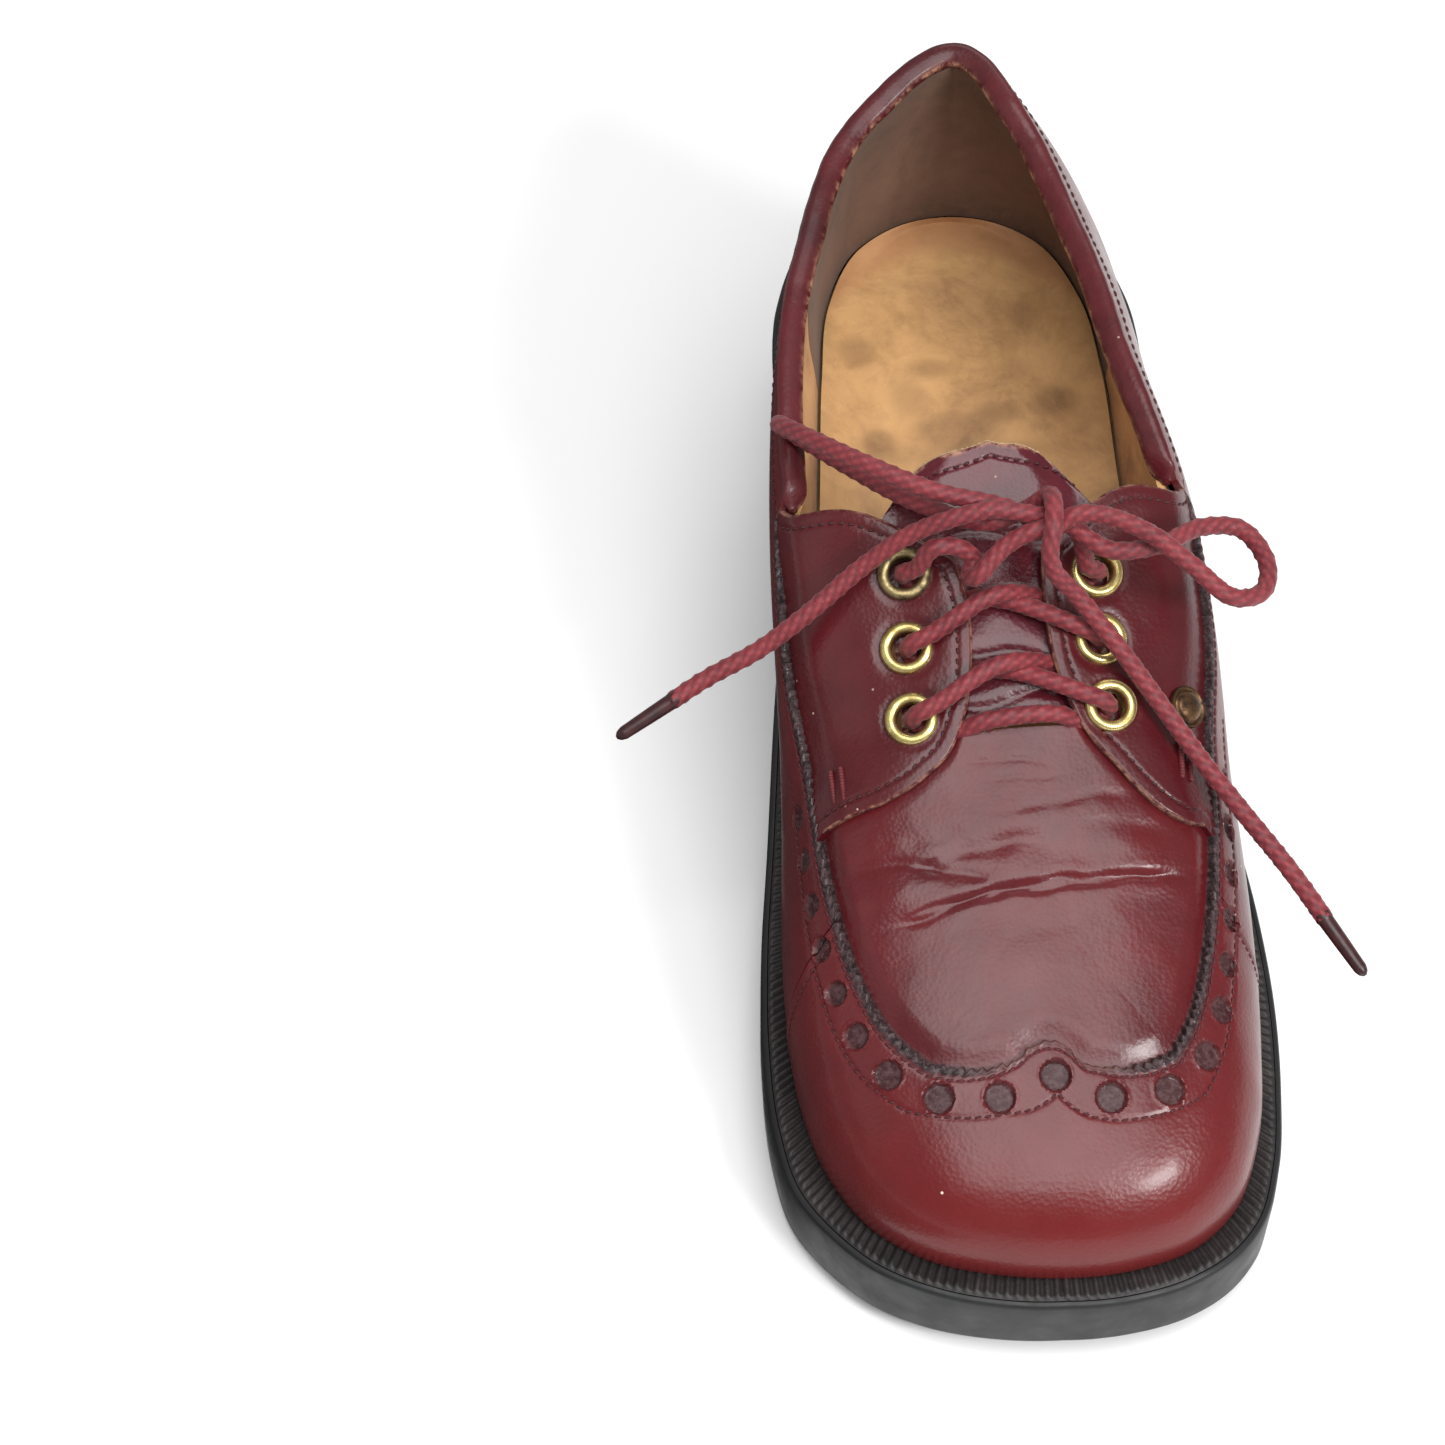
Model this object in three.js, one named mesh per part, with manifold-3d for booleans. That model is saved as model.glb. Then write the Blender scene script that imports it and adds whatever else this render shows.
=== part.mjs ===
// Laced leather shoe with an apron front, three eyelets a side, a block heel and a tied round lace.
// Millimetres, +Z up, the toe points to -Y, +X is the inner (medial) side of a right shoe.
import * as THREE from "three";
import { mergeVertices } from "three/addons/utils/BufferGeometryUtils.js";
import Module from "manifold-3d";

const wasm = await Module();
wasm.setup();

// ---- driving dimensions ----
const GAP = 0.35;              // clearance between neighbouring pieces
// Depths under the outer skin, outer face first.
const OUTER_LEATHER = [0, 1.35];
const UNDER_LAYER = [1.7, 2.95];   // apron and tongue
const STIFFENER = [1.75, 2.45];    // toe puff and heel counter
const LINING = [3.3, 4.3];
const WELT_T = 2.8;
const WELT_INNER = 3.2;        // how far the welt runs in under the upper
const INSOLE_T = 2.5;
const SOCK_T = 1.2;
const SHANK_T = 1.2;
const EYELET_R = 5.25;
const EYELET_HOLE_R = 3.0;
const EYELET_SEAT_R = 3.9;     // hole in the facing
const LACE_D = 3.7;
const AGLET_R = 1.5;
const TOP_PIECE_T = 6.0;
const CENTRE = new THREE.Vector3(-1.21, 1.51, 0);   // puts the sole's box on the origin

// ---- the outer skin: outlines from the toe centre to the heel centre, one per side (x, y) ----
const FEATHER_MEDIAL = [
  [4, -125], [17, -124], [29, -120], [38, -112], [43.5, -99], [46, -82], [47, -62], [46.5, -42], [44, -20],
  [41, 0], [38, 22], [36, 48], [35, 74], [32, 95], [23, 113], [11, 121], [0, 123],
];
const FEATHER_LATERAL = [
  [4, -125], [-9, -123.5], [-22, -119.5], [-32, -112], [-39.5, -100], [-44, -84], [-45.5, -65], [-45, -45],
  [-43, -22], [-41, 0], [-39, 22], [-37, 48], [-35, 74], [-32, 95], [-23, 113], [-11, 121], [0, 123],
];
const SOLE_MEDIAL = [
  [4, -131], [17, -130.3], [29.5, -126.8], [38.5, -121], [44, -114.5], [49, -101.5], [52, -84], [53.5, -62],
  [52.5, -42], [49, -20], [45, 0], [41.5, 22], [39.5, 48], [38.5, 74], [35.5, 97], [26, 117], [12, 126], [0, 128],
];
const SOLE_LATERAL = [
  [4, -131], [-9, -130], [-22, -126.5], [-32, -121], [-40, -113], [-46.5, -103], [-50, -88], [-51, -69],
  [-50, -47], [-47.5, -24], [-45, 0], [-42.5, 22], [-40.5, 48], [-38.5, 74], [-35.5, 97], [-26, 117],
  [-12, 126], [0, 128],
];
// Height of the feather line over the ground, by y.
const FEATHER_Z = [
  [-125, 23], [-100, 20], [-75, 19], [-50, 20], [-25, 24.5], [0, 32.5], [25, 42], [50, 49.5], [75, 53.5],
  [100, 55], [123, 55.5], [130, 55.5],
];
// Underside of the outsole, by y.
const TREAD_Z = [
  [-132, 6.6], [-118, 3.6], [-104, 1.4], [-92, 0], [-84, 0], [-70, 0], [-56, 0], [-48, 0], [-38, 1.2], [-25, 5],
  [0, 18], [25, 31], [50, 40.5], [75, 45.5], [100, 47], [130, 47.5],
];
// Crest of the skin (y, z, x), toe to heel; its back part closes the form over the opening.
const CREST = [
  [-62, 61, 2], [-50, 66, 2], [-38, 71.5, 1.5], [-20, 80, 1], [0, 89, 0.2], [20, 98, -1.5], [45, 109, -5],
  [72, 119, -8], [90, 122, -9],
];
const CREST_FROM = 0.14;       // the toe columns fan out from the crest's first point
const CREST_TO = 0.86;
// Column shape by s: rise of the wall, swell of the wall (mm), spread at the crest.
const WALL_MEDIAL = [
  [0, 0.62, 3, 0.62], [0.15, 0.62, 4, 0.68], [0.3, 0.6, 4.5, 0.74], [0.4, 0.56, 4.5, 0.86],
  [0.5, 0.52, 4.7, 1.22], [0.58, 0.5, 4.8, 1.3], [0.7, 0.45, 4.5, 0.83], [0.85, 0.35, 4.5, 0.46],
  [0.93, 0.39, 4.5, 0.68], [0.985, 0.445, 5, 1.44], [1, 0.448, 5, 1.48],
];
const WALL_LATERAL = [
  [0, 0.62, 3, 0.62], [0.15, 0.62, 4, 0.68], [0.3, 0.6, 4.5, 0.74], [0.4, 0.56, 4.5, 0.86],
  [0.5, 0.52, 4.4, 1.3], [0.58, 0.5, 4.3, 1.55], [0.7, 0.45, 4.1, 1.59], [0.85, 0.35, 4, 0.93],
  [0.93, 0.39, 4.5, 0.83], [0.985, 0.445, 5, 1.44], [1, 0.448, 5, 1.48],
];

// ---- seam lines on the skin, (s, v) with v from the feather line (0) to the crest (1) ----
const APRON_SEAM = {
  medial: [[0, 0.74], [0.026, 0.72], [0.056, 0.686], [0.112, 0.65], [0.163, 0.603], [0.208, 0.567], [0.26, 0.532],
    [0.324, 0.508], [0.42, 0.5], [0.5, 0.51], [0.576, 0.545]],
  lateral: [[0, 0.74], [0.03, 0.722], [0.078, 0.683], [0.131, 0.641], [0.186, 0.576], [0.24, 0.534], [0.32, 0.485],
    [0.37, 0.46], [0.44, 0.45], [0.52, 0.49], [0.582, 0.54]],
};
const TOPLINE = {
  medial: [[0.576, 0.593], [0.632, 0.588], [0.715, 0.543], [0.81, 0.509], [0.915, 0.543], [0.965, 0.528], [1, 0.515]],
  lateral: [[0.582, 0.585], [0.642, 0.557], [0.709, 0.518], [0.81, 0.472], [0.915, 0.51], [0.965, 0.522], [1, 0.515]],
};
// The free edge of a facing: from its front end on the apron seam, round the throat, up to the top.
const THROAT = {
  medial: [[0.326, 0.55], [0.312, 0.62], [0.306, 0.7], [0.311, 0.79], [0.335, 0.885], [0.38, 0.925], [0.45, 0.935]],
  lateral: [[0.35, 0.5], [0.332, 0.6], [0.32, 0.7], [0.315, 0.8], [0.334, 0.88], [0.38, 0.915], [0.46, 0.915]],
};
const SIDE_SEAM_S = 0.285;     // where the mudguard's wings meet the quarters
// Where the apron ends and the tongue begins, straight across the instep: (v, s).
const TONGUE_BASE = [[0.5, 0.39], [0.62, 0.381], [0.7, 0.368], [0.8, 0.346], [0.9, 0.319], [1, 0.284]];
const LINING_FRONT_S = 0.385;
const TONGUE_END_S = 0.545;
const EYELETS = {
  medial: [[0.463, 0.832], [0.406, 0.832], [0.356, 0.812]],
  lateral: [[0.471, 0.812], [0.418, 0.803], [0.364, 0.781]],
};

// ---- curves ----
// Smooth curve through rows [key, a, b, ...]: returns [a, b, ...] at a key.
function smooth(rows, t) {
  const last = rows.length - 1;
  const x = Math.min(Math.max(t, rows[0][0]), rows[last][0]);
  let i = 0;
  while (i < last - 1 && x > rows[i + 1][0]) i += 1;
  const h = rows[i + 1][0] - rows[i][0];
  const w = (x - rows[i][0]) / h;
  const out = [];
  for (let c = 1; c < rows[0].length; c += 1) {
    const m0 = tangent(rows, i, c) * h;
    const m1 = tangent(rows, i + 1, c) * h;
    const a = rows[i][c];
    const b = rows[i + 1][c];
    const w2 = w * w;
    const w3 = w2 * w;
    out.push((2 * w3 - 3 * w2 + 1) * a + (w3 - 2 * w2 + w) * m0 + (3 * w2 - 2 * w3) * b + (w3 - w2) * m1);
  }
  return out;
}

function slopeOf(rows, i, c) {
  return (rows[i + 1][c] - rows[i][c]) / (rows[i + 1][0] - rows[i][0]);
}

function tangent(rows, i, c) {
  const last = rows.length - 1;
  if (last === 1) return slopeOf(rows, 0, c);
  if (i === 0) return 2 * slopeOf(rows, 0, c) - tangent(rows, 1, c);
  if (i === last) return 2 * slopeOf(rows, last - 1, c) - tangent(rows, last - 1, c);
  const before = rows[i][0] - rows[i - 1][0];
  const after = rows[i + 1][0] - rows[i][0];
  return (slopeOf(rows, i - 1, c) * after + slopeOf(rows, i, c) * before) / (before + after);
}

// The same points keyed by their share of the length.
function byLength(points) {
  const sums = [0];
  for (let i = 1; i < points.length; i += 1) {
    const d = Math.hypot(points[i][0] - points[i - 1][0], points[i][1] - points[i - 1][1]);
    sums.push(sums[i - 1] + d);
  }
  return points.map((p, i) => [sums[i] / sums[sums.length - 1], ...p]);
}

const featherRows = { 1: byLength(FEATHER_MEDIAL), "-1": byLength(FEATHER_LATERAL) };
const soleRows = { 1: byLength(SOLE_MEDIAL), "-1": byLength(SOLE_LATERAL) };
const crestRows = byLength(CREST);
const wallRows = { 1: WALL_MEDIAL, "-1": WALL_LATERAL };
const sideName = { 1: "medial", "-1": "lateral" };
const sideOf = (u) => (u < 0 ? -1 : 1);
const featherZ = (y) => smooth(FEATHER_Z, y)[0];
const seamV = (u) => smooth(APRON_SEAM[sideName[sideOf(u)]], Math.abs(u))[0];
const toplineV = (u) => smooth(TOPLINE[sideName[sideOf(u)]], Math.abs(u))[0];

// ---- the skin's surface, u from -1 (heel, lateral) over 0 (toe) to 1 (heel, medial) ----
function crestAt(s) {
  const c = Math.min(Math.max((s - CREST_FROM) / (CREST_TO - CREST_FROM), 0), 1);
  const [y, z, x] = smooth(crestRows, c);
  const a = smooth(crestRows, Math.max(c - 0.001, 0));
  const b = smooth(crestRows, Math.min(c + 0.001, 1));
  return { x, y, z, slope: (b[1] - a[1]) / (b[0] - a[0]) };
}

function skinPoint(u, v) {
  const side = sideOf(u);
  const s = Math.min(Math.abs(u), 1);
  const [fx, fy] = smooth(featherRows[side], s);
  const fz = featherZ(fy);
  const c = crestAt(s);
  const [rise, swell, spread] = smooth(wallRows[side], s);
  const hx = fx - c.x;
  const hy = fy - c.y;
  const h = Math.hypot(hx, hy);
  const bx = [fx, fx + (hx / h) * swell, c.x + hx * spread, c.x];
  const by = [fy, fy + (hy / h) * swell, c.y + hy * spread, c.y];
  const bz = [fz, fz + rise * (c.z - fz), c.z + c.slope * hy * spread, c.z];
  const w = 1 - v;
  const k = [w * w * w, 3 * w * w * v, 3 * w * v * v, v * v * v];
  const sum = (b) => k[0] * b[0] + k[1] * b[1] + k[2] * b[2] + k[3] * b[3];
  return new THREE.Vector3(sum(bx), sum(by), sum(bz));
}

function skinNormal(u, v) {
  if (v > 0.999) {
    const m = crestAt(Math.abs(u)).slope;
    return new THREE.Vector3(0, -m, 1).normalize();
  }
  const e = 0.004;
  const uu = Math.min(Math.max(u, -1 + e), 1 - e);
  const vv = Math.min(Math.max(v, e), 1 - e);
  const du = skinPoint(uu + e, vv).sub(skinPoint(uu - e, vv));
  const dv = skinPoint(uu, vv + e).sub(skinPoint(uu, vv - e));
  const n = du.cross(dv);
  if (Math.abs(u) > 0.999) n.x = 0;
  return n.normalize();
}

// A point at a height over the skin (negative: inside the shoe).
function onSkin(u, v, height) {
  return skinPoint(u, v).addScaledVector(skinNormal(u, v), height);
}

// ---- solids ----
const group = new THREE.Group();

function add(name, geometry, color, metalness = 0, roughness = 0.5) {
  const material = new THREE.MeshStandardMaterial({ color, metalness, roughness });
  const mesh = new THREE.Mesh(geometry, material);
  mesh.name = name;
  group.add(mesh);
  return mesh;
}

// Welded geometry from triangles of points, without the slivers a pole leaves.
function weld(triangles) {
  const keys = new Map();
  const positions = [];
  const index = [];
  const idOf = (p) => {
    const key = [p.x, p.y, p.z].map((n) => Math.round(n * 2000)).join(",");
    if (!keys.has(key)) {
      keys.set(key, positions.length / 3);
      positions.push(p.x, p.y, p.z);
    }
    return keys.get(key);
  };
  for (const [a, b, c] of triangles) {
    const [i, j, k] = [idOf(a), idOf(b), idOf(c)];
    if (i !== j && j !== k && k !== i) index.push(i, j, k);
  }
  const g = new THREE.BufferGeometry();
  g.setAttribute("position", new THREE.Float32BufferAttribute(positions, 3));
  g.setIndex(index);
  return g;
}

function quad(list, a, b, c, d) {
  list.push([a, b, c], [a, c, d]);
}

// A sheet between two grids of points, closed round its edge. A folded sheet is glued along its last column.
function sheet(outer, inner, folded = false) {
  const tri = [];
  const rows = outer.length;
  const cols = outer[0].length;
  for (let i = 0; i < rows - 1; i += 1) {
    for (let j = 0; j < cols - 1; j += 1) {
      quad(tri, outer[i][j], outer[i + 1][j], outer[i + 1][j + 1], outer[i][j + 1]);
      quad(tri, inner[i][j], inner[i][j + 1], inner[i + 1][j + 1], inner[i + 1][j]);
    }
    quad(tri, outer[i][0], inner[i][0], inner[i + 1][0], outer[i + 1][0]);
    if (!folded) quad(tri, outer[i][cols - 1], outer[i + 1][cols - 1], inner[i + 1][cols - 1], inner[i][cols - 1]);
  }
  for (let j = 0; j < cols - 1; j += 1) {
    quad(tri, outer[0][j], outer[0][j + 1], inner[0][j + 1], inner[0][j]);
    const e = rows - 1;
    quad(tri, outer[e][j], inner[e][j], inner[e][j + 1], outer[e][j + 1]);
  }
  return weld(tri);
}

function spaced(from, to, steps) {
  return Array.from({ length: steps + 1 }, (_, i) => from + ((to - from) * i) / steps);
}

// A panel of the upper: its u stations, its v range by u, and the layer it is made of.
function panel(us, low, high, steps, layer) {
  const grid = (depth) => us.map((u) => spaced(low(u), high(u), steps).map((v) => onSkin(u, v, -depth)));
  return sheet(grid(layer[0]), grid(layer[1]), high(us[0]) > 0.9999);
}

// One side's facing: from the apron seam to the throat, its top edge bowed towards the ankle.
function facingPoint(side, t, w) {
  const name = sideName[side];
  const throat = byLength(THROAT[name]);
  const front = THROAT[name][0][0];
  const back = TOPLINE[name][0][0] - 0.003;
  const lowS = front + (back - front) * t;
  const lowV = seamV(side * lowS) + 0.012;
  const [highS, highV] = smooth(throat, t);
  const bow = 0.047 * t * t * Math.sin(Math.PI * w ** 1.8);
  return [side * (lowS + (highS - lowS) * w + bow), lowV + (highV - lowV) * w];
}

function facing(side) {
  const grid = (depth) =>
    spaced(0, 1, 12).map((t) =>
      spaced(0, 1, 7).map((w) => {
        const [u, v] = facingPoint(side, side > 0 ? t : 1 - t, w);
        return onSkin(u, v, -depth);
      }),
    );
  return sheet(grid(OUTER_LEATHER[0]), grid(OUTER_LEATHER[1]));
}

// A body lofted through rings of points that run anticlockwise seen from its far end, fan caps at both ends.
function loft(rings) {
  const tri = [];
  const n = rings[0].length;
  for (let r = 0; r < rings.length - 1; r += 1) {
    for (let i = 0; i < n; i += 1) {
      const k = (i + 1) % n;
      quad(tri, rings[r][i], rings[r][k], rings[r + 1][k], rings[r + 1][i]);
    }
  }
  const middle = (ring) => ring.reduce((m, p) => m.add(p), new THREE.Vector3()).divideScalar(n);
  const start = middle(rings[0]);
  const end = middle(rings[rings.length - 1]);
  for (let i = 0; i < n; i += 1) {
    const k = (i + 1) % n;
    tri.push([rings[0][k], rings[0][i], start]);
    tri.push([rings[rings.length - 1][i], rings[rings.length - 1][k], end]);
  }
  return weld(tri);
}

// Half outlines of the bottom moved inwards, toe to heel, at the same stations on both sides.
function halfOutlines(rows, inset, stations) {
  const e = 0.004;
  const half = (side) =>
    stations.map((s) => {
      const [x, y] = smooth(rows[side], s);
      if (s < e) return [x, y + inset];
      if (s > 1 - e) return [x, y - inset];
      const a = smooth(rows[side], s - e);
      const b = smooth(rows[side], s + e);
      const len = Math.hypot(b[0] - a[0], b[1] - a[1]);
      return [x - (side * inset * (b[1] - a[1])) / len, y + (side * inset * (b[0] - a[0])) / len];
    });
  return { medial: half(1), lateral: half(-1) };
}

// A slab over the bottom with its top and underside following heights by y.
function slab(outlines, top, under, across) {
  const face = (height) =>
    outlines.medial.map((m, i) => {
      const l = outlines.lateral[i];
      return spaced(0, 1, across).map((w) => {
        const y = l[1] + (m[1] - l[1]) * w;
        return new THREE.Vector3(l[0] + (m[0] - l[0]) * w, y, height(y));
      });
    });
  return sheet(turned(face(top)), turned(face(under)));
}

function turned(grid) {
  return grid.slice().reverse();
}

// A flat strip that runs round the bottom between two rings.
function ringStrip(outline, inner, top, under) {
  const loop = (o) => [...o.medial, ...o.lateral.slice(1, -1).reverse()];
  const a = loop(outline);
  const b = loop(inner);
  const tri = [];
  const at = ([x, y], height) => new THREE.Vector3(x, y, height(y));
  for (let i = 0; i < a.length; i += 1) {
    const k = (i + 1) % a.length;
    quad(tri, at(a[i], top), at(a[k], top), at(b[k], top), at(b[i], top));
    quad(tri, at(b[i], under), at(b[k], under), at(a[k], under), at(a[i], under));
    quad(tri, at(a[i], under), at(a[k], under), at(a[k], top), at(a[i], top));
    quad(tri, at(b[k], under), at(b[i], under), at(b[i], top), at(b[k], top));
  }
  return weld(tri);
}

// ---- booleans and placing ----
function toSolid(geometry) {
  const g = geometry.index ? geometry.toNonIndexed() : geometry.clone();
  g.deleteAttribute("normal");
  g.deleteAttribute("uv");
  const m = mergeVertices(g, 1e-4);
  return new wasm.Manifold(
    new wasm.Mesh({
      numProp: 3,
      vertProperties: new Float32Array(m.attributes.position.array),
      triVerts: new Uint32Array(m.index.array),
    }),
  );
}

function fromSolid(solid) {
  const m = solid.getMesh();
  const g = new THREE.BufferGeometry();
  g.setAttribute("position", new THREE.BufferAttribute(new Float32Array(m.vertProperties), 3));
  g.setIndex(new THREE.BufferAttribute(new Uint32Array(m.triVerts), 1));
  return g;
}

function cut(geometry, tools) {
  return fromSolid(tools.reduce((body, tool) => body.subtract(toSolid(tool)), toSolid(geometry)));
}

// Turns a geometry made along +Z so that it stands on the skin at (u, v).
function standOn(geometry, u, v, height) {
  const q = new THREE.Quaternion().setFromUnitVectors(new THREE.Vector3(0, 0, 1), skinNormal(u, v));
  const p = onSkin(u, v, height);
  return geometry.clone().applyQuaternion(q).translate(p.x, p.y, p.z);
}

function rod(radius, from, to, sides = 14) {
  return new THREE.CylinderGeometry(radius, radius, to - from, sides).rotateX(Math.PI / 2).translate(0, 0, (from + to) / 2);
}

function turnedBody(profile, sides = 16) {
  return new THREE.LatheGeometry(profile.map(([r, z]) => new THREE.Vector2(r, z)), sides).rotateX(Math.PI / 2);
}

function cordAlong(points, steps, radius = LACE_D / 2) {
  const shape = new THREE.Shape();
  for (let i = 0; i < 8; i += 1) {
    const a = (i / 8) * 2 * Math.PI;
    shape.lineTo(radius * Math.cos(a), radius * Math.sin(a));
    if (i === 0) shape.moveTo(radius, 0);
  }
  shape.closePath();
  const extrudePath = new THREE.CatmullRomCurve3(points, false, "centripetal");
  return weldGeometry(new THREE.ExtrudeGeometry(shape, { steps, bevelEnabled: false, extrudePath }));
}

function weldGeometry(geometry) {
  return fromSolid(toSolid(geometry));
}

// ---- bottom ----
const STATIONS = [
  0, 0.02, 0.045, 0.07, 0.095, 0.12, 0.15, 0.185, 0.22, 0.26, 0.3, 0.34, 0.38, 0.42, 0.46, 0.5, 0.54, 0.58, 0.62,
  0.66, 0.7, 0.74, 0.78, 0.82, 0.855, 0.885, 0.915, 0.945, 0.975, 1,
];
const weltTop = (y) => featherZ(y) - GAP;
const weltUnder = (y) => weltTop(y) - WELT_T;
const soleTop = (y) => weltUnder(y) - GAP;
const soleUnder = (y) => Math.max(smooth(TREAD_Z, y)[0], 0);
const insoleTop = (y) => featherZ(y) - 0.6;
const insoleUnder = (y) => insoleTop(y) - INSOLE_T;
const SCREW = { x: 0, y: 92, r: 2, headR: 4.2 };
const PINS = [[-13, 84], [13, 84]];
const PIN_R = 1.4;
const SHANK = { y0: -2, y1: 84, width: 12 };

function verticalRod(x, y, r, from, to) {
  return rod(r, from, to).translate(x, y, 0);
}

function shankBar(grow) {
  const rows = spaced(SHANK.y0 - grow, SHANK.y1 + grow, 10);
  const half = SHANK.width / 2 + grow;
  const top = (y) => soleTop(y) - GAP + (grow ? 3 : 0);
  const under = (y) => soleTop(y) - GAP - SHANK_T - grow;
  const face = (height) =>
    rows.map((y) => [half, -half].map((x) => new THREE.Vector3(x, y, height(y))));
  return sheet(face(top), face(under));
}

function outsole() {
  const body = slab(halfOutlines(soleRows, 0, STATIONS), soleTop, soleUnder, 4);
  return cut(body, [shankBar(GAP), verticalRod(SCREW.x, SCREW.y, SCREW.r + GAP, 40, 60)]);
}

function insoleBoard() {
  const body = slab(halfOutlines(featherRows, WELT_INNER + 0.4, STATIONS), insoleTop, insoleUnder, 3);
  return cut(body, [verticalRod(SCREW.x, SCREW.y, SCREW.headR + GAP, 40, 60)]);
}

function sockLining() {
  const low = (y) => featherZ(y) - 0.25;
  return slab(halfOutlines(featherRows, LINING[1] + 0.4, STATIONS), (y) => low(y) + SOCK_T, low, 3);
}

function weltStrip() {
  return ringStrip(halfOutlines(soleRows, 0.8, STATIONS), halfOutlines(featherRows, WELT_INNER, STATIONS), weltTop, weltUnder);
}

// Outline of the heel seen from above, shrunk towards its own middle, with a hollow breast.
function heelRing(scale, height) {
  const middle = new THREE.Vector2(0, 92);
  const stations = spaced(0.715, 1, 9);
  const o = halfOutlines(soleRows, 0.6, stations);
  const breast = [[-0.55, 3.2], [0, 5], [0.55, 3.2]];
  const width = o.medial[0][0];
  const front = breast.map(([k, hollow]) => [k * width, o.medial[0][1] + hollow]);
  const loop = [...o.medial, ...o.lateral.slice(0, -1).reverse(), ...front];
  return loop.map(([x, y]) => {
    const px = middle.x + (x - middle.x) * scale;
    const py = middle.y + (y - middle.y) * scale;
    return new THREE.Vector3(px, py, height(y));
  });
}

function heelBlock() {
  const top = (y) => soleUnder(y) - GAP;
  const level = (z) => () => z;
  const rings = [
    heelRing(0.9, level(TOP_PIECE_T + GAP)), heelRing(0.905, level(16)), heelRing(0.925, level(28)),
    heelRing(0.96, level(38)), heelRing(1, top),
  ];
  const tools = PINS.map(([x, y]) => verticalRod(x, y, PIN_R + GAP, 2, 20 + GAP));
  tools.push(verticalRod(SCREW.x, SCREW.y, SCREW.r + GAP, 22, 60));
  return cut(loft(rings), tools);
}

function topPiece() {
  const body = loft([heelRing(0.893, () => 0), heelRing(0.9, () => TOP_PIECE_T)]);
  return cut(body, PINS.map(([x, y]) => verticalRod(x, y, PIN_R + GAP, 2, 20)));
}

function heelScrew() {
  const headTop = insoleTop(SCREW.y) - 0.3;
  const r = SCREW.r;
  const profile = [[0, 24], [r * 0.6, 25], [r, 27], [r, headTop - 2], [SCREW.headR, headTop - 1], [SCREW.headR, headTop], [0, headTop]];
  return turnedBody(profile, 16).translate(SCREW.x, SCREW.y, 0);
}

add("outsole", outsole(), 0x1a1a1b, 0, 0.55);
add("welt_strip", weltStrip(), 0x201e1e, 0, 0.6);
add("insole_board", insoleBoard(), 0x9a7b52, 0, 0.8);
add("shank", shankBar(0), 0x8a8d90, 0.9, 0.4);
add("sock_lining", sockLining(), 0xb98b58, 0, 0.7);
add("heel_block", heelBlock(), 0x17171a, 0, 0.4);
add("heel_top_piece", topPiece(), 0x141414, 0, 0.8);
add("heel_screw", heelScrew(), 0x8a8d90, 0.9, 0.4);
PINS.forEach(([x, y], i) => {
  add("top_piece_pin_" + (i + 1), verticalRod(x, y, PIN_R, 2.4, 20), 0x8a8d90, 0.9, 0.4);
});

// ---- upper ----
const LEATHER = 0x6e2b30;
const EDGE = 0.006;            // half a seam's gap, as a share of the skin's u or v

function mirrorStations(list) {
  return [...list.map((u) => -u).reverse(), ...list.filter((u) => u > 0)];
}

// u stations that run from the medial side round the heel to the lateral side.
function roundHeel(from, steps) {
  const half = spaced(from, 1, steps);
  return [...half, ...half.slice(0, -1).reverse().map((u) => -u)];
}

const FRONT_STATIONS = [0, 0.03, 0.06, 0.09, 0.12, 0.145, 0.17, 0.2, 0.23, 0.26, SIDE_SEAM_S];

function mudguard() {
  const us = mirrorStations([...FRONT_STATIONS.slice(0, -1), SIDE_SEAM_S - EDGE / 2]);
  return panel(us, () => 0.004, (u) => seamV(u) - EDGE / 2, 8, OUTER_LEATHER);
}

const baseS = (v) => smooth(TONGUE_BASE, v)[0];

// A sheet over the forepart whose stations close up towards the tongue's base line.
function frontSheet(short, low, steps, layer) {
  const shares = mirrorStations([0, 0.09, 0.18, 0.27, 0.36, 0.45, 0.54, 0.63, 0.72, 0.81, 0.91, 1]);
  const grid = (depth) =>
    shares.map((t) =>
      spaced(low(t * baseS(0.5)), 1, steps).map((v) => onSkin(t * (baseS(v) - short), v, -depth)),
    );
  return sheet(grid(layer[0]), grid(layer[1]), true);
}

function apron() {
  return frontSheet(EDGE / 2, (u) => Math.max(seamV(u) - 0.055, 0.4), 8, UNDER_LAYER);
}

function tongue() {
  const edge = (k, side) => (side > 0 ? 0.77 : 0.745) + 0.08 * k + 0.6 * Math.max(0, k - 0.9);
  const row = (t, side, depth) =>
    spaced(edge(t, side), 1, 6).map((v) => {
      const from = baseS(v) + EDGE / 2;
      return onSkin(side * (from + (TONGUE_END_S - from) * t), v, -depth);
    });
  const across = (depth) =>
    spaced(0, 1, 10).map((t) => [...row(t, 1, depth), ...row(t, -1, depth).slice(0, -1).reverse()]);
  return sheet(across(UNDER_LAYER[0]), across(UNDER_LAYER[1]));
}

function quarter(side) {
  const back = TOPLINE[sideName[side]][0][0];
  const s0 = SIDE_SEAM_S + EDGE / 2;
  const stations = [...spaced(s0, back - 0.004, 9), ...spaced(back + 0.001, 1 - EDGE / 2, 14)];
  const us = side > 0 ? stations : stations.map((s) => -s).reverse();
  const high = (u) => (Math.abs(u) < back ? seamV(u) - EDGE / 2 : toplineV(u));
  return panel(us, () => 0.004, high, 6, OUTER_LEATHER);
}

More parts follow.
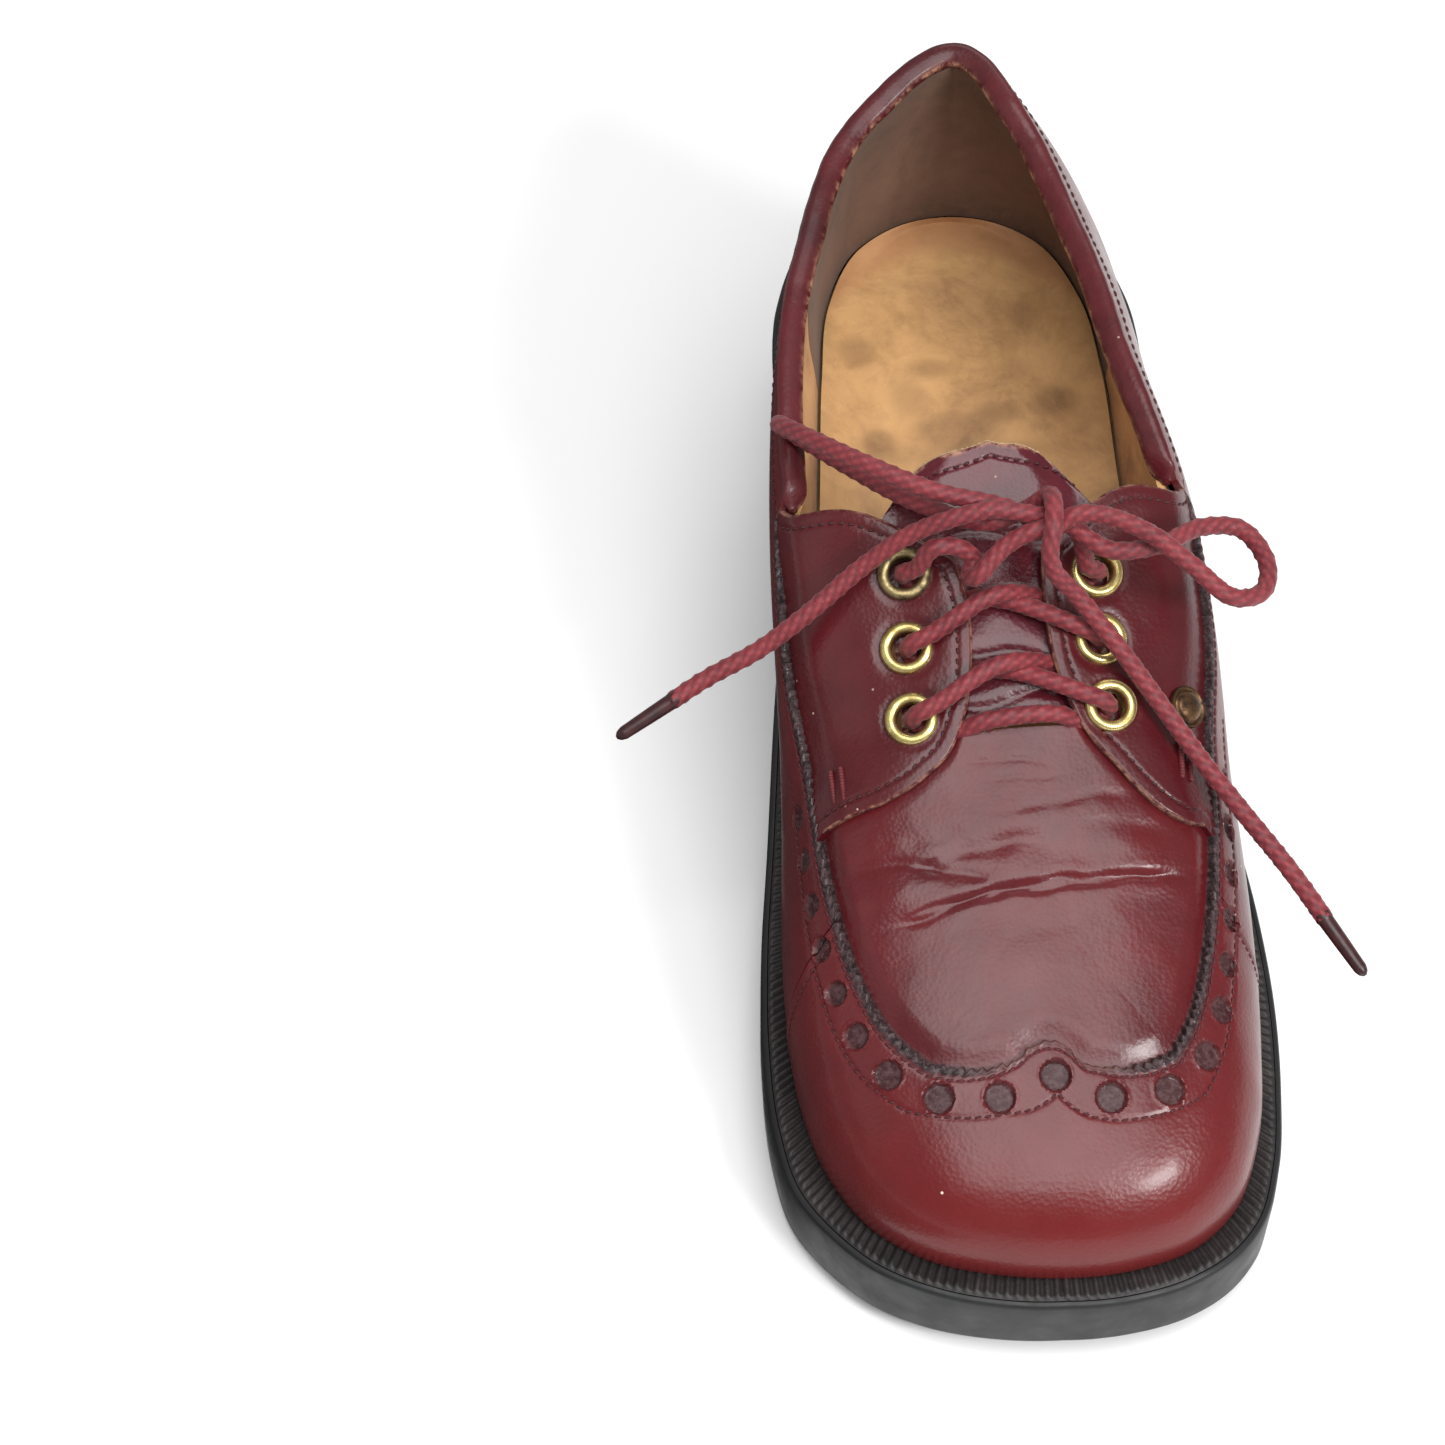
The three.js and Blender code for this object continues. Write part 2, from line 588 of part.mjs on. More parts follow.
function quarterLining(side) {
  const back = TOPLINE[sideName[side]][0][0];
  const stations = [...spaced(LINING_FRONT_S + EDGE, back - 0.004, 5), ...spaced(back + 0.001, 0.79, 6)];
  const us = side > 0 ? stations : stations.map((s) => -s).reverse();
  const high = (u) => (Math.abs(u) < back ? seamV(u) - 0.02 : toplineV(u) - 0.004);
  return panel(us, () => 0.014, high, 5, LINING);
}

function vampLining() {
  return frontSheet(0.022, () => 0.014, 9, LINING);
}

function heelGrip() {
  return panel(roundHeel(0.796, 7), () => 0.014, (u) => toplineV(u) - 0.004, 5, LINING);
}

function heelCounter() {
  return panel(roundHeel(0.75, 8), () => 0.02, () => 0.38, 4, STIFFENER);
}

function toePuff() {
  const us = mirrorStations([0, 0.03, 0.06, 0.09, 0.12, 0.145, 0.17, 0.19]);
  return panel(us, () => 0.02, (u) => seamV(u) - 0.075, 4, STIFFENER);
}

// Rolled binding of the opening: an eight-sided bead that follows the topline round the heel.
function topBinding() {
  const back = Math.max(TOPLINE.medial[0][0], TOPLINE.lateral[0][0]);
  const half = 2.7;
  const rings = roundHeel(back + 0.004, 15).map((u) => {
    const centre = onSkin(u, toplineV(u), -2.1);
    const up = onSkin(u, toplineV(u) + 0.02, -2.1).sub(centre).normalize();
    const out = skinNormal(u, toplineV(u));
    const lift = 1.7;
    return spaced(0, 7, 7).map((i) => {
      const a = ((i + 0.5) / 8) * 2 * Math.PI;
      const p = centre.clone().addScaledVector(out, half * Math.cos(a));
      return p.addScaledVector(up, lift - 1.35 * Math.sin(a));
    });
  });
  return loft(rings);
}

add("toe_mudguard", mudguard(), LEATHER);
add("vamp_apron", apron(), LEATHER);
add("tongue", tongue(), LEATHER);
add("quarter_medial", quarter(1), LEATHER);
add("quarter_lateral", quarter(-1), LEATHER);
add("topline_binding", topBinding(), LEATHER);
add("toe_puff", toePuff(), 0xb9b2a4, 0, 0.9);
add("heel_counter", heelCounter(), 0xb9b2a4, 0, 0.9);
add("vamp_lining", vampLining(), 0xc9a877, 0, 0.9);
add("quarter_lining_medial", quarterLining(1), 0xc19a66, 0, 0.8);
add("quarter_lining_lateral", quarterLining(-1), 0xc19a66, 0, 0.8);
add("heel_grip_lining", heelGrip(), 0x6f5a4a, 0, 0.95);

// ---- eyelets, stud and the holes they sit in ----
const STUD = { u: 0.405, v: 0.6 };

function eyelet(u, v) {
  const flange = [[EYELET_HOLE_R, -1.3], [3.5, -1.3], [3.5, 0.3], [EYELET_R, 0.3], [4.6, 1.15], [EYELET_HOLE_R, 0.9]];
  return standOn(turnedBody([...flange, flange[0]]), u, v, 0);
}

function stud() {
  const dome = [[0, -1.2], [1, -1.2], [1, 0.35], [4.2, 0.35], [4.2, 0.8], [3.4, 1.7], [1.8, 2.3], [0, 2.5]];
  return standOn(turnedBody(dome, 14), STUD.u, STUD.v, 0);
}

function holedFacing(side) {
  const holes = EYELETS[sideName[side]].map(([s, v]) => standOn(rod(EYELET_SEAT_R, -4, 4, 16), side * s, v, 0));
  if (side > 0) holes.push(standOn(rod(1.35, -4, 4, 12), STUD.u, STUD.v, 0));
  return cut(facing(side), holes);
}

add("facing_medial", holedFacing(1), LEATHER);
add("facing_lateral", holedFacing(-1), LEATHER);
for (const side of [1, -1]) {
  EYELETS[sideName[side]].forEach(([s, v], i) => {
    add("eyelet_" + sideName[side] + "_" + (i + 1), eyelet(side * s, v), 0xb9a878, 0.9, 0.35);
  });
}
add("side_stud", stud(), 0xb08d4a, 0.9, 0.3);

// ---- lace ----
const LACE = 0x8c3a3d;
const KNOT = new THREE.Vector3(6, -5, 102);
const KNOT_SIZE = [7.5, 5.5, 4.6];

// A strand out of one eyelet, over the throat and towards the opposite facing's edge.
function crossing(side, from, to, height, stop) {
  const [s0, v0] = EYELETS[sideName[side]][from];
  const [s1, v1] = EYELETS[sideName[-side]][to];
  const a = onSkin(side * s0, v0, 0.1);
  const b = onSkin(side * s0, v0, 3.2);
  const target = onSkin(-side * s1, v1, 3.2);
  const lean = b.clone().lerp(target, 0.1).add(new THREE.Vector3(0, 0, 0.6));
  const middle = b.clone().lerp(target, 0.42).add(new THREE.Vector3(0, 0, height));
  const end = b.clone().lerp(target, stop).add(new THREE.Vector3(0, 0, height * 0.7 - 1));
  return cordAlong([a, b, lean, middle, end], 10);
}

function toKnot(side) {
  const [s, v] = EYELETS[sideName[side]][0];
  const a = onSkin(side * s, v, 0.1);
  const b = onSkin(side * s, v, 3.4);
  const end = new THREE.Vector3(KNOT.x + side * (KNOT_SIZE[0] + 1.6), KNOT.y, KNOT.z - 1);
  const lean = b.clone().lerp(end, 0.3).add(new THREE.Vector3(0, 0, 1.2));
  return cordAlong([a, b, lean, end], 7);
}

function pathOf(points, steps) {
  return cordAlong(points.map(([x, y, z]) => new THREE.Vector3(x, y, z)), steps);
}

const BAR = [[-6.5, -34.5, 77.5], [8.5, -35, 77.5]];
const LOOP_MEDIAL = [
  [17, -4.8, 104.8], [26.5, -9.5, 104], [33.5, -14.5, 101], [42, -19.5, 96], [48, -17, 94], [50, -9.5, 93.5],
  [46, -2, 94.5], [37.5, -3, 97], [29, -8, 98.2], [19.5, -9, 98.6],
];
const LOOP_LATERAL = [
  [-3, -3, 105], [-13, 1.5, 106], [-26, 9.5, 105], [-37, 19.5, 102], [-42.5, 27.5, 97], [-40.5, 29.2, 93],
  [-29, 19, 93], [-16, 6.5, 96.5], [-5, 2, 98.5],
];
const END_LATERAL = [
  [-5, -9.5, 103], [-15, -11.5, 100], [-26.5, -10.5, 93.5], [-40.5, -12.5, 84], [-48.5, -13, 78], [-56, -15.5, 74],
];
const END_MEDIAL = [
  [10, -13.5, 98.5], [14, -18, 95], [21, -25, 89.5], [28.5, -32, 81.5], [36, -40, 73], [43, -48.5, 67], [49, -56, 63],
];

function knotLump() {
  const g = new THREE.SphereGeometry(1, 12, 8).scale(...KNOT_SIZE);
  return weldGeometry(g.translate(KNOT.x, KNOT.y, KNOT.z));
}

// A small sleeve that carries on straight from the end of a lace path.
function aglet(path) {
  const a = new THREE.Vector3(...path[path.length - 2]);
  const b = new THREE.Vector3(...path[path.length - 1]);
  const along = b.clone().sub(a).normalize();
  const body = rod(AGLET_R, GAP, 14, 10);
  const q = new THREE.Quaternion().setFromUnitVectors(new THREE.Vector3(0, 0, 1), along);
  return body.applyQuaternion(q).translate(b.x, b.y, b.z);
}

add("lace_bar", pathOf(BAR, 4), LACE, 0, 0.7);
add("lace_cross_1", crossing(1, 2, 1, 2.2, 0.72), LACE, 0, 0.7);
add("lace_cross_2", crossing(-1, 2, 1, 6.6, 0.7), LACE, 0, 0.7);
add("lace_cross_3", crossing(1, 1, 0, 2.2, 0.72), LACE, 0, 0.7);
add("lace_cross_4", crossing(-1, 1, 0, 6.6, 0.7), LACE, 0, 0.7);
add("lace_rise_medial", toKnot(1), LACE, 0, 0.7);
add("lace_rise_lateral", toKnot(-1), LACE, 0, 0.7);
add("lace_knot", knotLump(), LACE, 0, 0.7);
add("lace_loop_medial", pathOf(LOOP_MEDIAL, 18), LACE, 0, 0.7);
add("lace_loop_lateral", pathOf(LOOP_LATERAL, 18), LACE, 0, 0.7);
add("lace_end_medial", pathOf(END_MEDIAL, 14), LACE, 0, 0.7);
add("lace_end_lateral", pathOf(END_LATERAL, 13), LACE, 0, 0.7);
add("aglet_medial", aglet(END_MEDIAL), 0x3a1f20, 0, 0.4);
add("aglet_lateral", aglet(END_LATERAL), 0x3a1f20, 0, 0.4);

group.position.copy(CENTRE);
const shoe = new THREE.Group();
shoe.add(group);
export default shoe;
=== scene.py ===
"""Looks of a laced burgundy leather shoe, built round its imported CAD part."""

import math

import bpy
import numpy as np
from mathutils import Matrix, Vector


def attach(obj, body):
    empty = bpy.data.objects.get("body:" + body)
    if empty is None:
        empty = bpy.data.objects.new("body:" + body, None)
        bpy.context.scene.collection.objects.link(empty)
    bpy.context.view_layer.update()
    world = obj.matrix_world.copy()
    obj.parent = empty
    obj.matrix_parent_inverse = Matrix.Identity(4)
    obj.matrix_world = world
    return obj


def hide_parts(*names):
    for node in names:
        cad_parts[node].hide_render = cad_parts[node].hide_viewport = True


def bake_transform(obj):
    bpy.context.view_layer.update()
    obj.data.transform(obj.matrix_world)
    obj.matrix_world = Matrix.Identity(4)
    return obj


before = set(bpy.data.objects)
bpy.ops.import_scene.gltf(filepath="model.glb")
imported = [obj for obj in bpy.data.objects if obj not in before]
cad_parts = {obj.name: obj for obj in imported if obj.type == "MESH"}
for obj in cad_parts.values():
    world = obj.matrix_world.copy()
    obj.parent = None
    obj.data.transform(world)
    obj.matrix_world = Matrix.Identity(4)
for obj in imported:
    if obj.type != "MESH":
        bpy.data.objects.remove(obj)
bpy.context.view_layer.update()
RNG = np.random.default_rng(7)

# ---------------------------------------------------------------- the shoe's skin, in mm
CENTRE = np.array([-1.21, 1.51, 0.0])
FEATHER = {
    1: [(4, -125), (17, -124), (29, -120), (38, -112), (43.5, -99), (46, -82), (47, -62), (46.5, -42), (44, -20),
        (41, 0), (38, 22), (36, 48), (35, 74), (32, 95), (23, 113), (11, 121), (0, 123)],
    -1: [(4, -125), (-9, -123.5), (-22, -119.5), (-32, -112), (-39.5, -100), (-44, -84), (-45.5, -65), (-45, -45),
         (-43, -22), (-41, 0), (-39, 22), (-37, 48), (-35, 74), (-32, 95), (-23, 113), (-11, 121), (0, 123)],
}
SOLE = {
    1: [(4, -131), (17, -130.3), (29.5, -126.8), (38.5, -121), (44, -114.5), (49, -101.5), (52, -84), (53.5, -62),
        (52.5, -42), (49, -20), (45, 0), (41.5, 22), (39.8, 48), (40.3, 74), (38.5, 97), (29.5, 118), (14, 128.5),
        (0, 130.5)],
    -1: [(4, -131), (-9, -130), (-22, -126.5), (-32, -121), (-40, -113), (-46.5, -103), (-50, -88), (-51, -69),
         (-50, -47), (-47.5, -24), (-45, 0), (-42.5, 22), (-41, 48), (-40.5, 74), (-39, 97), (-30, 118),
         (-14, 128.5), (0, 130.5)],
}
FEATHER_Z = [(-125, 23), (-100, 20), (-75, 19), (-50, 20), (-25, 24.5), (0, 32.5), (25, 42), (50, 49.5), (75, 53.5),
             (100, 55), (123, 55.5), (130, 55.5)]
CREST = [(-62, 61, 2), (-50, 66, 2), (-38, 71.5, 1.5), (-20, 80, 1), (0, 89, 0.2), (20, 98, -1.5), (45, 109, -5),
         (72, 119, -8), (90, 122, -9)]
WALL = {
    1: [(0, 0.62, 3, 0.62), (0.15, 0.62, 4, 0.68), (0.3, 0.6, 4.5, 0.74), (0.4, 0.56, 4.5, 0.86),
        (0.5, 0.52, 4.7, 1.22),
        (0.58, 0.5, 4.8, 1.3), (0.7, 0.45, 4.5, 0.86), (0.85, 0.35, 4.5, 0.49), (0.93, 0.39, 4.5, 0.7),
        (0.985, 0.445, 5, 1.12), (1, 0.448, 5, 1.2)],
    -1: [(0, 0.62, 3, 0.62), (0.15, 0.62, 4, 0.68), (0.3, 0.6, 4.5, 0.74), (0.4, 0.56, 4.5, 0.86),
         (0.5, 0.52, 4.4, 1.3),
         (0.58, 0.5, 4.3, 1.55), (0.7, 0.45, 4.1, 1.59), (0.85, 0.35, 4, 0.93), (0.93, 0.39, 4.5, 0.8),
         (0.985, 0.445, 5, 1.12),
         (1, 0.448, 5, 1.2)],
}
CREST_FROM, CREST_TO = 0.14, 0.86


class Curve:
    """Smooth curve through rows (key, a, b, ...)."""

    def __init__(self, rows):
        r = np.array(rows, float)
        self.k, self.v = r[:, 0], r[:, 1:]
        n = len(self.k)
        h = np.diff(self.k)
        d = np.diff(self.v, axis=0) / h[:, None]
        m = np.empty_like(self.v)
        if n > 2:
            m[1:-1] = (d[:-1] * h[1:, None] + d[1:] * h[:-1, None]) / (h[:-1] + h[1:])[:, None]
            m[0] = 2 * d[0] - m[1]
            m[-1] = 2 * d[-1] - m[-2]
        else:
            m[:] = d[0]
        self.m = m

    def __call__(self, t):
        t = np.clip(np.asarray(t, float), self.k[0], self.k[-1])
        i = np.clip(np.searchsorted(self.k, t, side="right") - 1, 0, len(self.k) - 2)
        h = (self.k[i + 1] - self.k[i])[..., None]
        w = (t - self.k[i])[..., None] / h
        w2, w3 = w * w, w * w * w
        out = ((2 * w3 - 3 * w2 + 1) * self.v[i] + (w3 - 2 * w2 + w) * h * self.m[i]
               + (3 * w2 - 2 * w3) * self.v[i + 1] + (w3 - w2) * h * self.m[i + 1])
        return out[..., 0] if out.shape[-1] == 1 else out


def by_length(points):
    p = np.array(points, float)
    d = np.r_[0, np.cumsum(np.linalg.norm(np.diff(p[:, :2], axis=0), axis=1))]
    return np.c_[d / d[-1], p]


feather_xy = {k: Curve(by_length(v)) for k, v in FEATHER.items()}
sole_xy = {k: Curve(by_length(v)) for k, v in SOLE.items()}
feather_z = Curve(FEATHER_Z)
crest_curve = Curve(by_length(CREST))
wall = {k: Curve(v) for k, v in WALL.items()}


def both(curves, u):
    """Reads the medial curve where u >= 0 and the lateral one elsewhere."""
    s = np.abs(u)
    a, b = curves[1](s), curves[-1](s)
    pick = u >= 0
    return np.where(pick[..., None] if a.ndim > s.ndim else pick, a, b)


def crest_at(s):
    c = np.clip((s - CREST_FROM) / (CREST_TO - CREST_FROM), 0, 1)
    yzx = crest_curve(c)
    a, b = crest_curve(np.clip(c - 0.001, 0, 1)), crest_curve(np.clip(c + 0.001, 0, 1))
    return yzx[..., 2], yzx[..., 0], yzx[..., 1], (b[..., 1] - a[..., 1]) / (b[..., 0] - a[..., 0])


def skin(u, v):
    """Point of the shoe's outer skin, in mm. u: -1 lateral heel, 0 toe, 1 medial heel. v: 0 feather line, 1 crest."""
    u, v = np.broadcast_arrays(np.asarray(u, float), np.asarray(v, float))
    f = both(feather_xy, u)
    fx, fy = f[..., 0], f[..., 1]
    fz = feather_z(fy)
    cx, cy, cz, slope = crest_at(np.abs(u))
    k = both(wall, u)
    rise, swell, spread = k[..., 0], k[..., 1], k[..., 2]
    hx, hy = fx - cx, fy - cy
    h = np.hypot(hx, hy)
    bx = (fx, fx + hx / h * swell, cx + hx * spread, cx)
    by = (fy, fy + hy / h * swell, cy + hy * spread, cy)
    bz = (fz, fz + rise * (cz - fz), cz + slope * hy * spread, cz)
    w = 1 - v
    c = (w ** 3, 3 * w * w * v, 3 * w * v * v, v ** 3)
    return np.stack([sum(a * b for a, b in zip(c, q)) for q in (bx, by, bz)], -1)


def skin_normal(u, v):
    u, v = np.broadcast_arrays(np.asarray(u, float), np.asarray(v, float))
    e = 0.003
    uu, vv = np.clip(u, -1 + e, 1 - e), np.clip(v, e, 1 - e)
    n = np.cross(skin(uu + e, vv) - skin(uu - e, vv), skin(uu, vv + e) - skin(uu, vv - e))
    n[..., 0] = np.where(np.abs(u) > 0.999, 0, n[..., 0])
    m = crest_at(np.abs(u))[3]
    top = np.stack([np.zeros_like(m), -m, np.ones_like(m)], -1)
    n /= np.linalg.norm(n, axis=-1, keepdims=True)
    top /= np.linalg.norm(top, axis=-1, keepdims=True)
    return np.where((v > 0.999)[..., None], top, n)


def on_skin(u, v, height=0.0):
    height = np.asarray(height, float)
    return skin(u, v) + skin_normal(u, v) * height[..., None]


def mm_per_v(u, v):
    """How many mm a unit of v is, near (u, v)."""
    e = 0.003
    return np.linalg.norm(skin(u, v + e) - skin(u, v - e), axis=-1) / (2 * e)


def step(x, a, b):
    """0 at a, 1 at b and smooth between, either way round."""
    t = np.clip((np.asarray(x, float) - a) / (b - a), 0, 1)
    return t * t * (3 - 2 * t)


# Seam lines as (s, v): s from the toe (0) to the heel (1), v from the feather line (0) to the crest (1).
SEAM = {
    1: Curve([(0, 0.742), (0.022, 0.728), (0.034, 0.703), (0.056, 0.686), (0.112, 0.65), (0.163, 0.603), (0.208, 0.567),
              (0.26, 0.532), (0.324, 0.508), (0.42, 0.5), (0.5, 0.51), (0.576, 0.545), (0.6, 0.56)]),
    -1: Curve([(0, 0.742), (0.028, 0.734), (0.046, 0.708), (0.078, 0.683), (0.131, 0.641), (0.186, 0.575),
               (0.235, 0.536),
               (0.32, 0.485), (0.37, 0.46), (0.44, 0.45), (0.52, 0.49), (0.582, 0.54), (0.6, 0.55)]),
}
BAND_ROW = {   # outer stitch row of the punched band, a peak at the toe
    1: Curve([(0, 0.634), (0.02, 0.594), (0.047, 0.567), (0.083, 0.548), (0.117, 0.519), (0.156, 0.478), (0.2, 0.447),
              (0.26, 0.418), (0.34, 0.395), (0.45, 0.39)]),
    -1: Curve([(0, 0.634), (0.02, 0.607), (0.058, 0.583), (0.102, 0.547), (0.145, 0.493), (0.182, 0.44), (0.215, 0.409),
               (0.27, 0.382), (0.34, 0.357), (0.45, 0.34)]),
}
TOPLINE = {
    1: Curve([(0.576, 0.593), (0.632, 0.588), (0.715, 0.543), (0.81, 0.53), (0.915, 0.598), (0.965, 0.59), (1, 0.577)]),
    -1: Curve([(0.582, 0.585), (0.642, 0.557), (0.709, 0.518), (0.81, 0.472), (0.915, 0.525), (0.965, 0.56),
               (1, 0.577)]),
}
THROAT = {
    1: Curve(by_length([(0.326, 0.55), (0.313, 0.62), (0.306, 0.7), (0.311, 0.8), (0.329, 0.89), (0.36, 0.928),
                        (0.4, 0.94), (0.45, 0.945)])),
    -1: Curve(by_length([(0.352, 0.49), (0.338, 0.6), (0.322, 0.71), (0.314, 0.8), (0.318, 0.868), (0.342, 0.906),
                         (0.385, 0.926), (0.456, 0.925)])),
}
TONGUE_BASE = Curve([(0.5, 0.39), (0.62, 0.381), (0.7, 0.368), (0.8, 0.346), (0.9, 0.319), (1, 0.284)])
EYELETS = {1: [(0.46, 0.851), (0.406, 0.832), (0.356, 0.812)], -1: [(0.471, 0.846), (0.418, 0.803), (0.364, 0.781)]}
SIDE_SEAM = 0.285
COLLAR = {1: 0.576, -1: 0.582}
LEATHER_T = 1.35


def seam_v(u):
    return both(SEAM, u)


def arc(points):
    """Length along a line of points, from its start to each of them."""
    return np.r_[0, np.cumsum(np.linalg.norm(np.diff(points, axis=0), axis=1))]


def unit(a):
    return a / np.linalg.norm(a, axis=-1, keepdims=True)


def gauss(x):
    return np.exp(-(x ** 2))


def doubled(values):
    """An attribute of a sheet's outer face, given to its inner face too."""
    return np.r_[values.ravel(), values.ravel()]


NAME = {1: "medial", -1: "lateral"}


# ---------------------------------------------------------------- meshes
def make(name, points, faces, body="shoe", attributes=(), angle=40, weld=0.0):
    """A mesh object from points in skin mm, riding on a CAD body."""
    mesh = bpy.data.meshes.new(name)
    verts = (np.asarray(points, float).reshape(-1, 3) + CENTRE) / 1000
    mesh.from_pydata(verts.tolist(), [], [list(map(int, f)) for f in faces])
    for key, values in attributes:
        a = mesh.attributes.new(key, "FLOAT", "POINT")
        a.data.foreach_set("value", np.asarray(values, np.float32).ravel())
    obj = bpy.data.objects.new(name, mesh)
    bpy.context.scene.collection.objects.link(obj)
    if weld:
        import bmesh
        bm = bmesh.new()
        bm.from_mesh(mesh)
        bmesh.ops.remove_doubles(bm, verts=bm.verts, dist=weld)
        bmesh.ops.dissolve_degenerate(bm, edges=bm.edges, dist=1e-7)
        bm.to_mesh(mesh)
        bm.free()
    mesh.validate()
    mesh.polygons.foreach_set("use_smooth", [True] * len(mesh.polygons))
    mesh.set_sharp_from_angle(angle=math.radians(angle))
    if body:
        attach(obj, body)
    return obj


def grid_faces(n, m, base=0, flip=False, keep=None):
    i, j = np.meshgrid(np.arange(n - 1), np.arange(m - 1), indexing="ij")
    a = base + i * m + j
    f = np.stack([a, a + m, a + m + 1, a + 1], -1)
    if flip:
        f = f[..., ::-1]
    return f[keep] if keep is not None else f.reshape(-1, 4)


def sheet_body(outer, inner, keep=None, folded=False, upside_down=False):
    """Points and faces of a closed sheet between two grids of points."""
    n, m = outer.shape[:2]
    size = n * m
    ids = np.arange(size).reshape(n, m)

    def wall(a, flip):
        q = np.stack([a[:-1], a[1:], a[1:] + size, a[:-1] + size], -1)
        return q[:, ::-1] if flip != upside_down else q

    faces = [grid_faces(n, m, 0, upside_down, keep), grid_faces(n, m, size, not upside_down, keep),
             wall(ids[0], False), wall(ids[-1], True), wall(ids[:, 0], True)]
    if not folded:
        faces.append(wall(ids[:, -1], False))
    return np.concatenate([outer.reshape(-1, 3), inner.reshape(-1, 3)]), np.concatenate(faces)


def shell(name, U, V, H, thick, keep=None, folded=False, attributes=(), weld=0.0):
    """A closed leather sheet: (U, V) grids on the skin, outer face at height H, a thickness in mm."""
    points, faces = sheet_body(on_skin(U, V, H), on_skin(U, V, H - thick), keep, folded)
    attrs = [(k, doubled(v) if k != "worn" else np.r_[v.ravel(), v.ravel() * 0]) for k, v in attributes]
    return make(name, points, faces, attributes=attrs, weld=weld)


def ring_quads(k, sides):
    """Quads between k rings of points, each ring closed round its sides."""
    i, j = np.meshgrid(np.arange(k - 1), np.arange(sides), indexing="ij")
    j2 = (j + 1) % sides
    return np.stack([i * sides + j, i * sides + j2, (i + 1) * sides + j2, (i + 1) * sides + j], -1).reshape(-1, 4)


def merged(parts):
    """Several (points, faces) as one, faces may be of mixed sizes."""
    points, faces, base = [], [], 0
    for p, f in parts:
        points.append(np.asarray(p).reshape(-1, 3))
        faces += [[i + base for i in q] for q in f]
        base += len(points[-1])
    return np.concatenate(points), faces


def tube(path, radius, sides, bumps=None):
    """Points and faces of a tube along a path (K, 3); radius a number or one per path point."""
    path = np.asarray(path, float)
    k = len(path)
    t = unit(np.gradient(path, axis=0))
    n = np.cross(t[0], [0.31, 0.17, 0.93])
    n /= np.linalg.norm(n)
    normals = []
    for d in t:
        n = n - d * n.dot(d)
        n /= np.linalg.norm(n)
        normals.append(n)
    normals = np.array(normals)
    side = np.cross(t, normals)
    a = np.arange(sides) / sides * 2 * math.pi
    r = np.broadcast_to(np.asarray(radius, float), (k,))[:, None] + (0 if bumps is None else bumps)
    c, s = np.cos(a)[None, :, None], np.sin(a)[None, :, None]
    ring = path[:, None] + r[..., None] * (c * normals[:, None] + s * side[:, None])
    f = ring_quads(k, sides).tolist()
    f += [list(range(sides))[::-1], [(k - 1) * sides + q for q in range(sides)]]
    return ring.reshape(-1, 3), f


def columns(at, d, rows):
    """Rows of x, y, z known at distances d, read at other distances."""
    return np.stack([np.interp(at, d, rows[:, i]) for i in range(3)], -1)


def spline(points, spacing):
    """Points of a smooth centripetal curve, evenly spaced in mm."""
    p = np.asarray(points, float)
    d = np.r_[0, np.cumsum(np.linalg.norm(np.diff(p, axis=0), axis=1) ** 0.7)]
    c = Curve(np.c_[d, p])
    fine = c(np.linspace(0, d[-1], max(200, 60 * len(p))))
    length = arc(fine)
    want = np.linspace(0, length[-1], max(3, int(round(length[-1] / spacing)) + 1))
    return columns(want, length, fine)


def lathe(profile, sides=56):
    """A closed ring or a solid of revolution about Z from (r, z) rows that end where they start, or on the axis."""
    a = np.arange(sides) / sides * 2 * math.pi
    p = np.array(profile, float)
    pts = np.stack([p[:, None, 0] * np.cos(a), p[:, None, 0] * np.sin(a), np.repeat(p[:, 1:2], sides, 1)], -1)
    return pts.reshape(-1, 3), ring_quads(len(p), sides)


def stand(points, u, v, height=0.0, turn=0.0):
    """Moves points made along +Z to stand on the skin at (u, v)."""
    n = skin_normal(u, v)
    x = unit(np.cross([0, 1, 0], n))
    y = np.cross(n, x)
    c, s = math.cos(turn), math.sin(turn)
    basis = np.stack([x * c + y * s, -x * s + y * c, n])
    return points @ basis + on_skin(u, v, height)


def stitches(name, u, v, height, pitch=2.1, length=1.55, radius=0.27, twist=14, body="shoe"):
    """A row of thread stitches along (u, v) points; each lies a little turned, as a lock stitch does."""
    P = on_skin(u, v, height)
    N = skin_normal(u, v)
    d = arc(P)
    at = np.arange(pitch / 2, d[-1], pitch)
    centre = columns(at, d, P)
    normal = unit(columns(at, d, N))
    t = unit(columns(at + 0.4, d, P) - columns(at - 0.4, d, P))
    across = np.cross(normal, t)
    w = math.radians(twist) + RNG.normal(0, 0.05, len(at))
    c, s = np.cos(w)[:, None], np.sin(w)[:, None]
    t, across = t * c + across * s, across * c - t * s
    rings = 7
    ks = np.linspace(-1, 1, rings)
    ang = np.arange(rings) / rings * 2 * math.pi
    fat = np.sqrt(np.clip(1 - ks ** 4, 0, 1)) * radius + 0.02
    dip = -0.28 * np.abs(ks) ** 3
    ring = (centre[:, None, None] + t[:, None, None] * (ks * length / 2)[None, :, None, None]
            + across[:, None, None] * (fat[:, None] * np.cos(ang))[None, ..., None]
            + normal[:, None, None] * (fat[:, None] * np.sin(ang) + dip[:, None])[None, ..., None])
    faces = (np.arange(len(at))[:, None, None] * rings ** 2 + ring_quads(rings, rings)[None]).reshape(-1, 4)
    return make(name, ring.reshape(-1, 3), faces, body, angle=80)


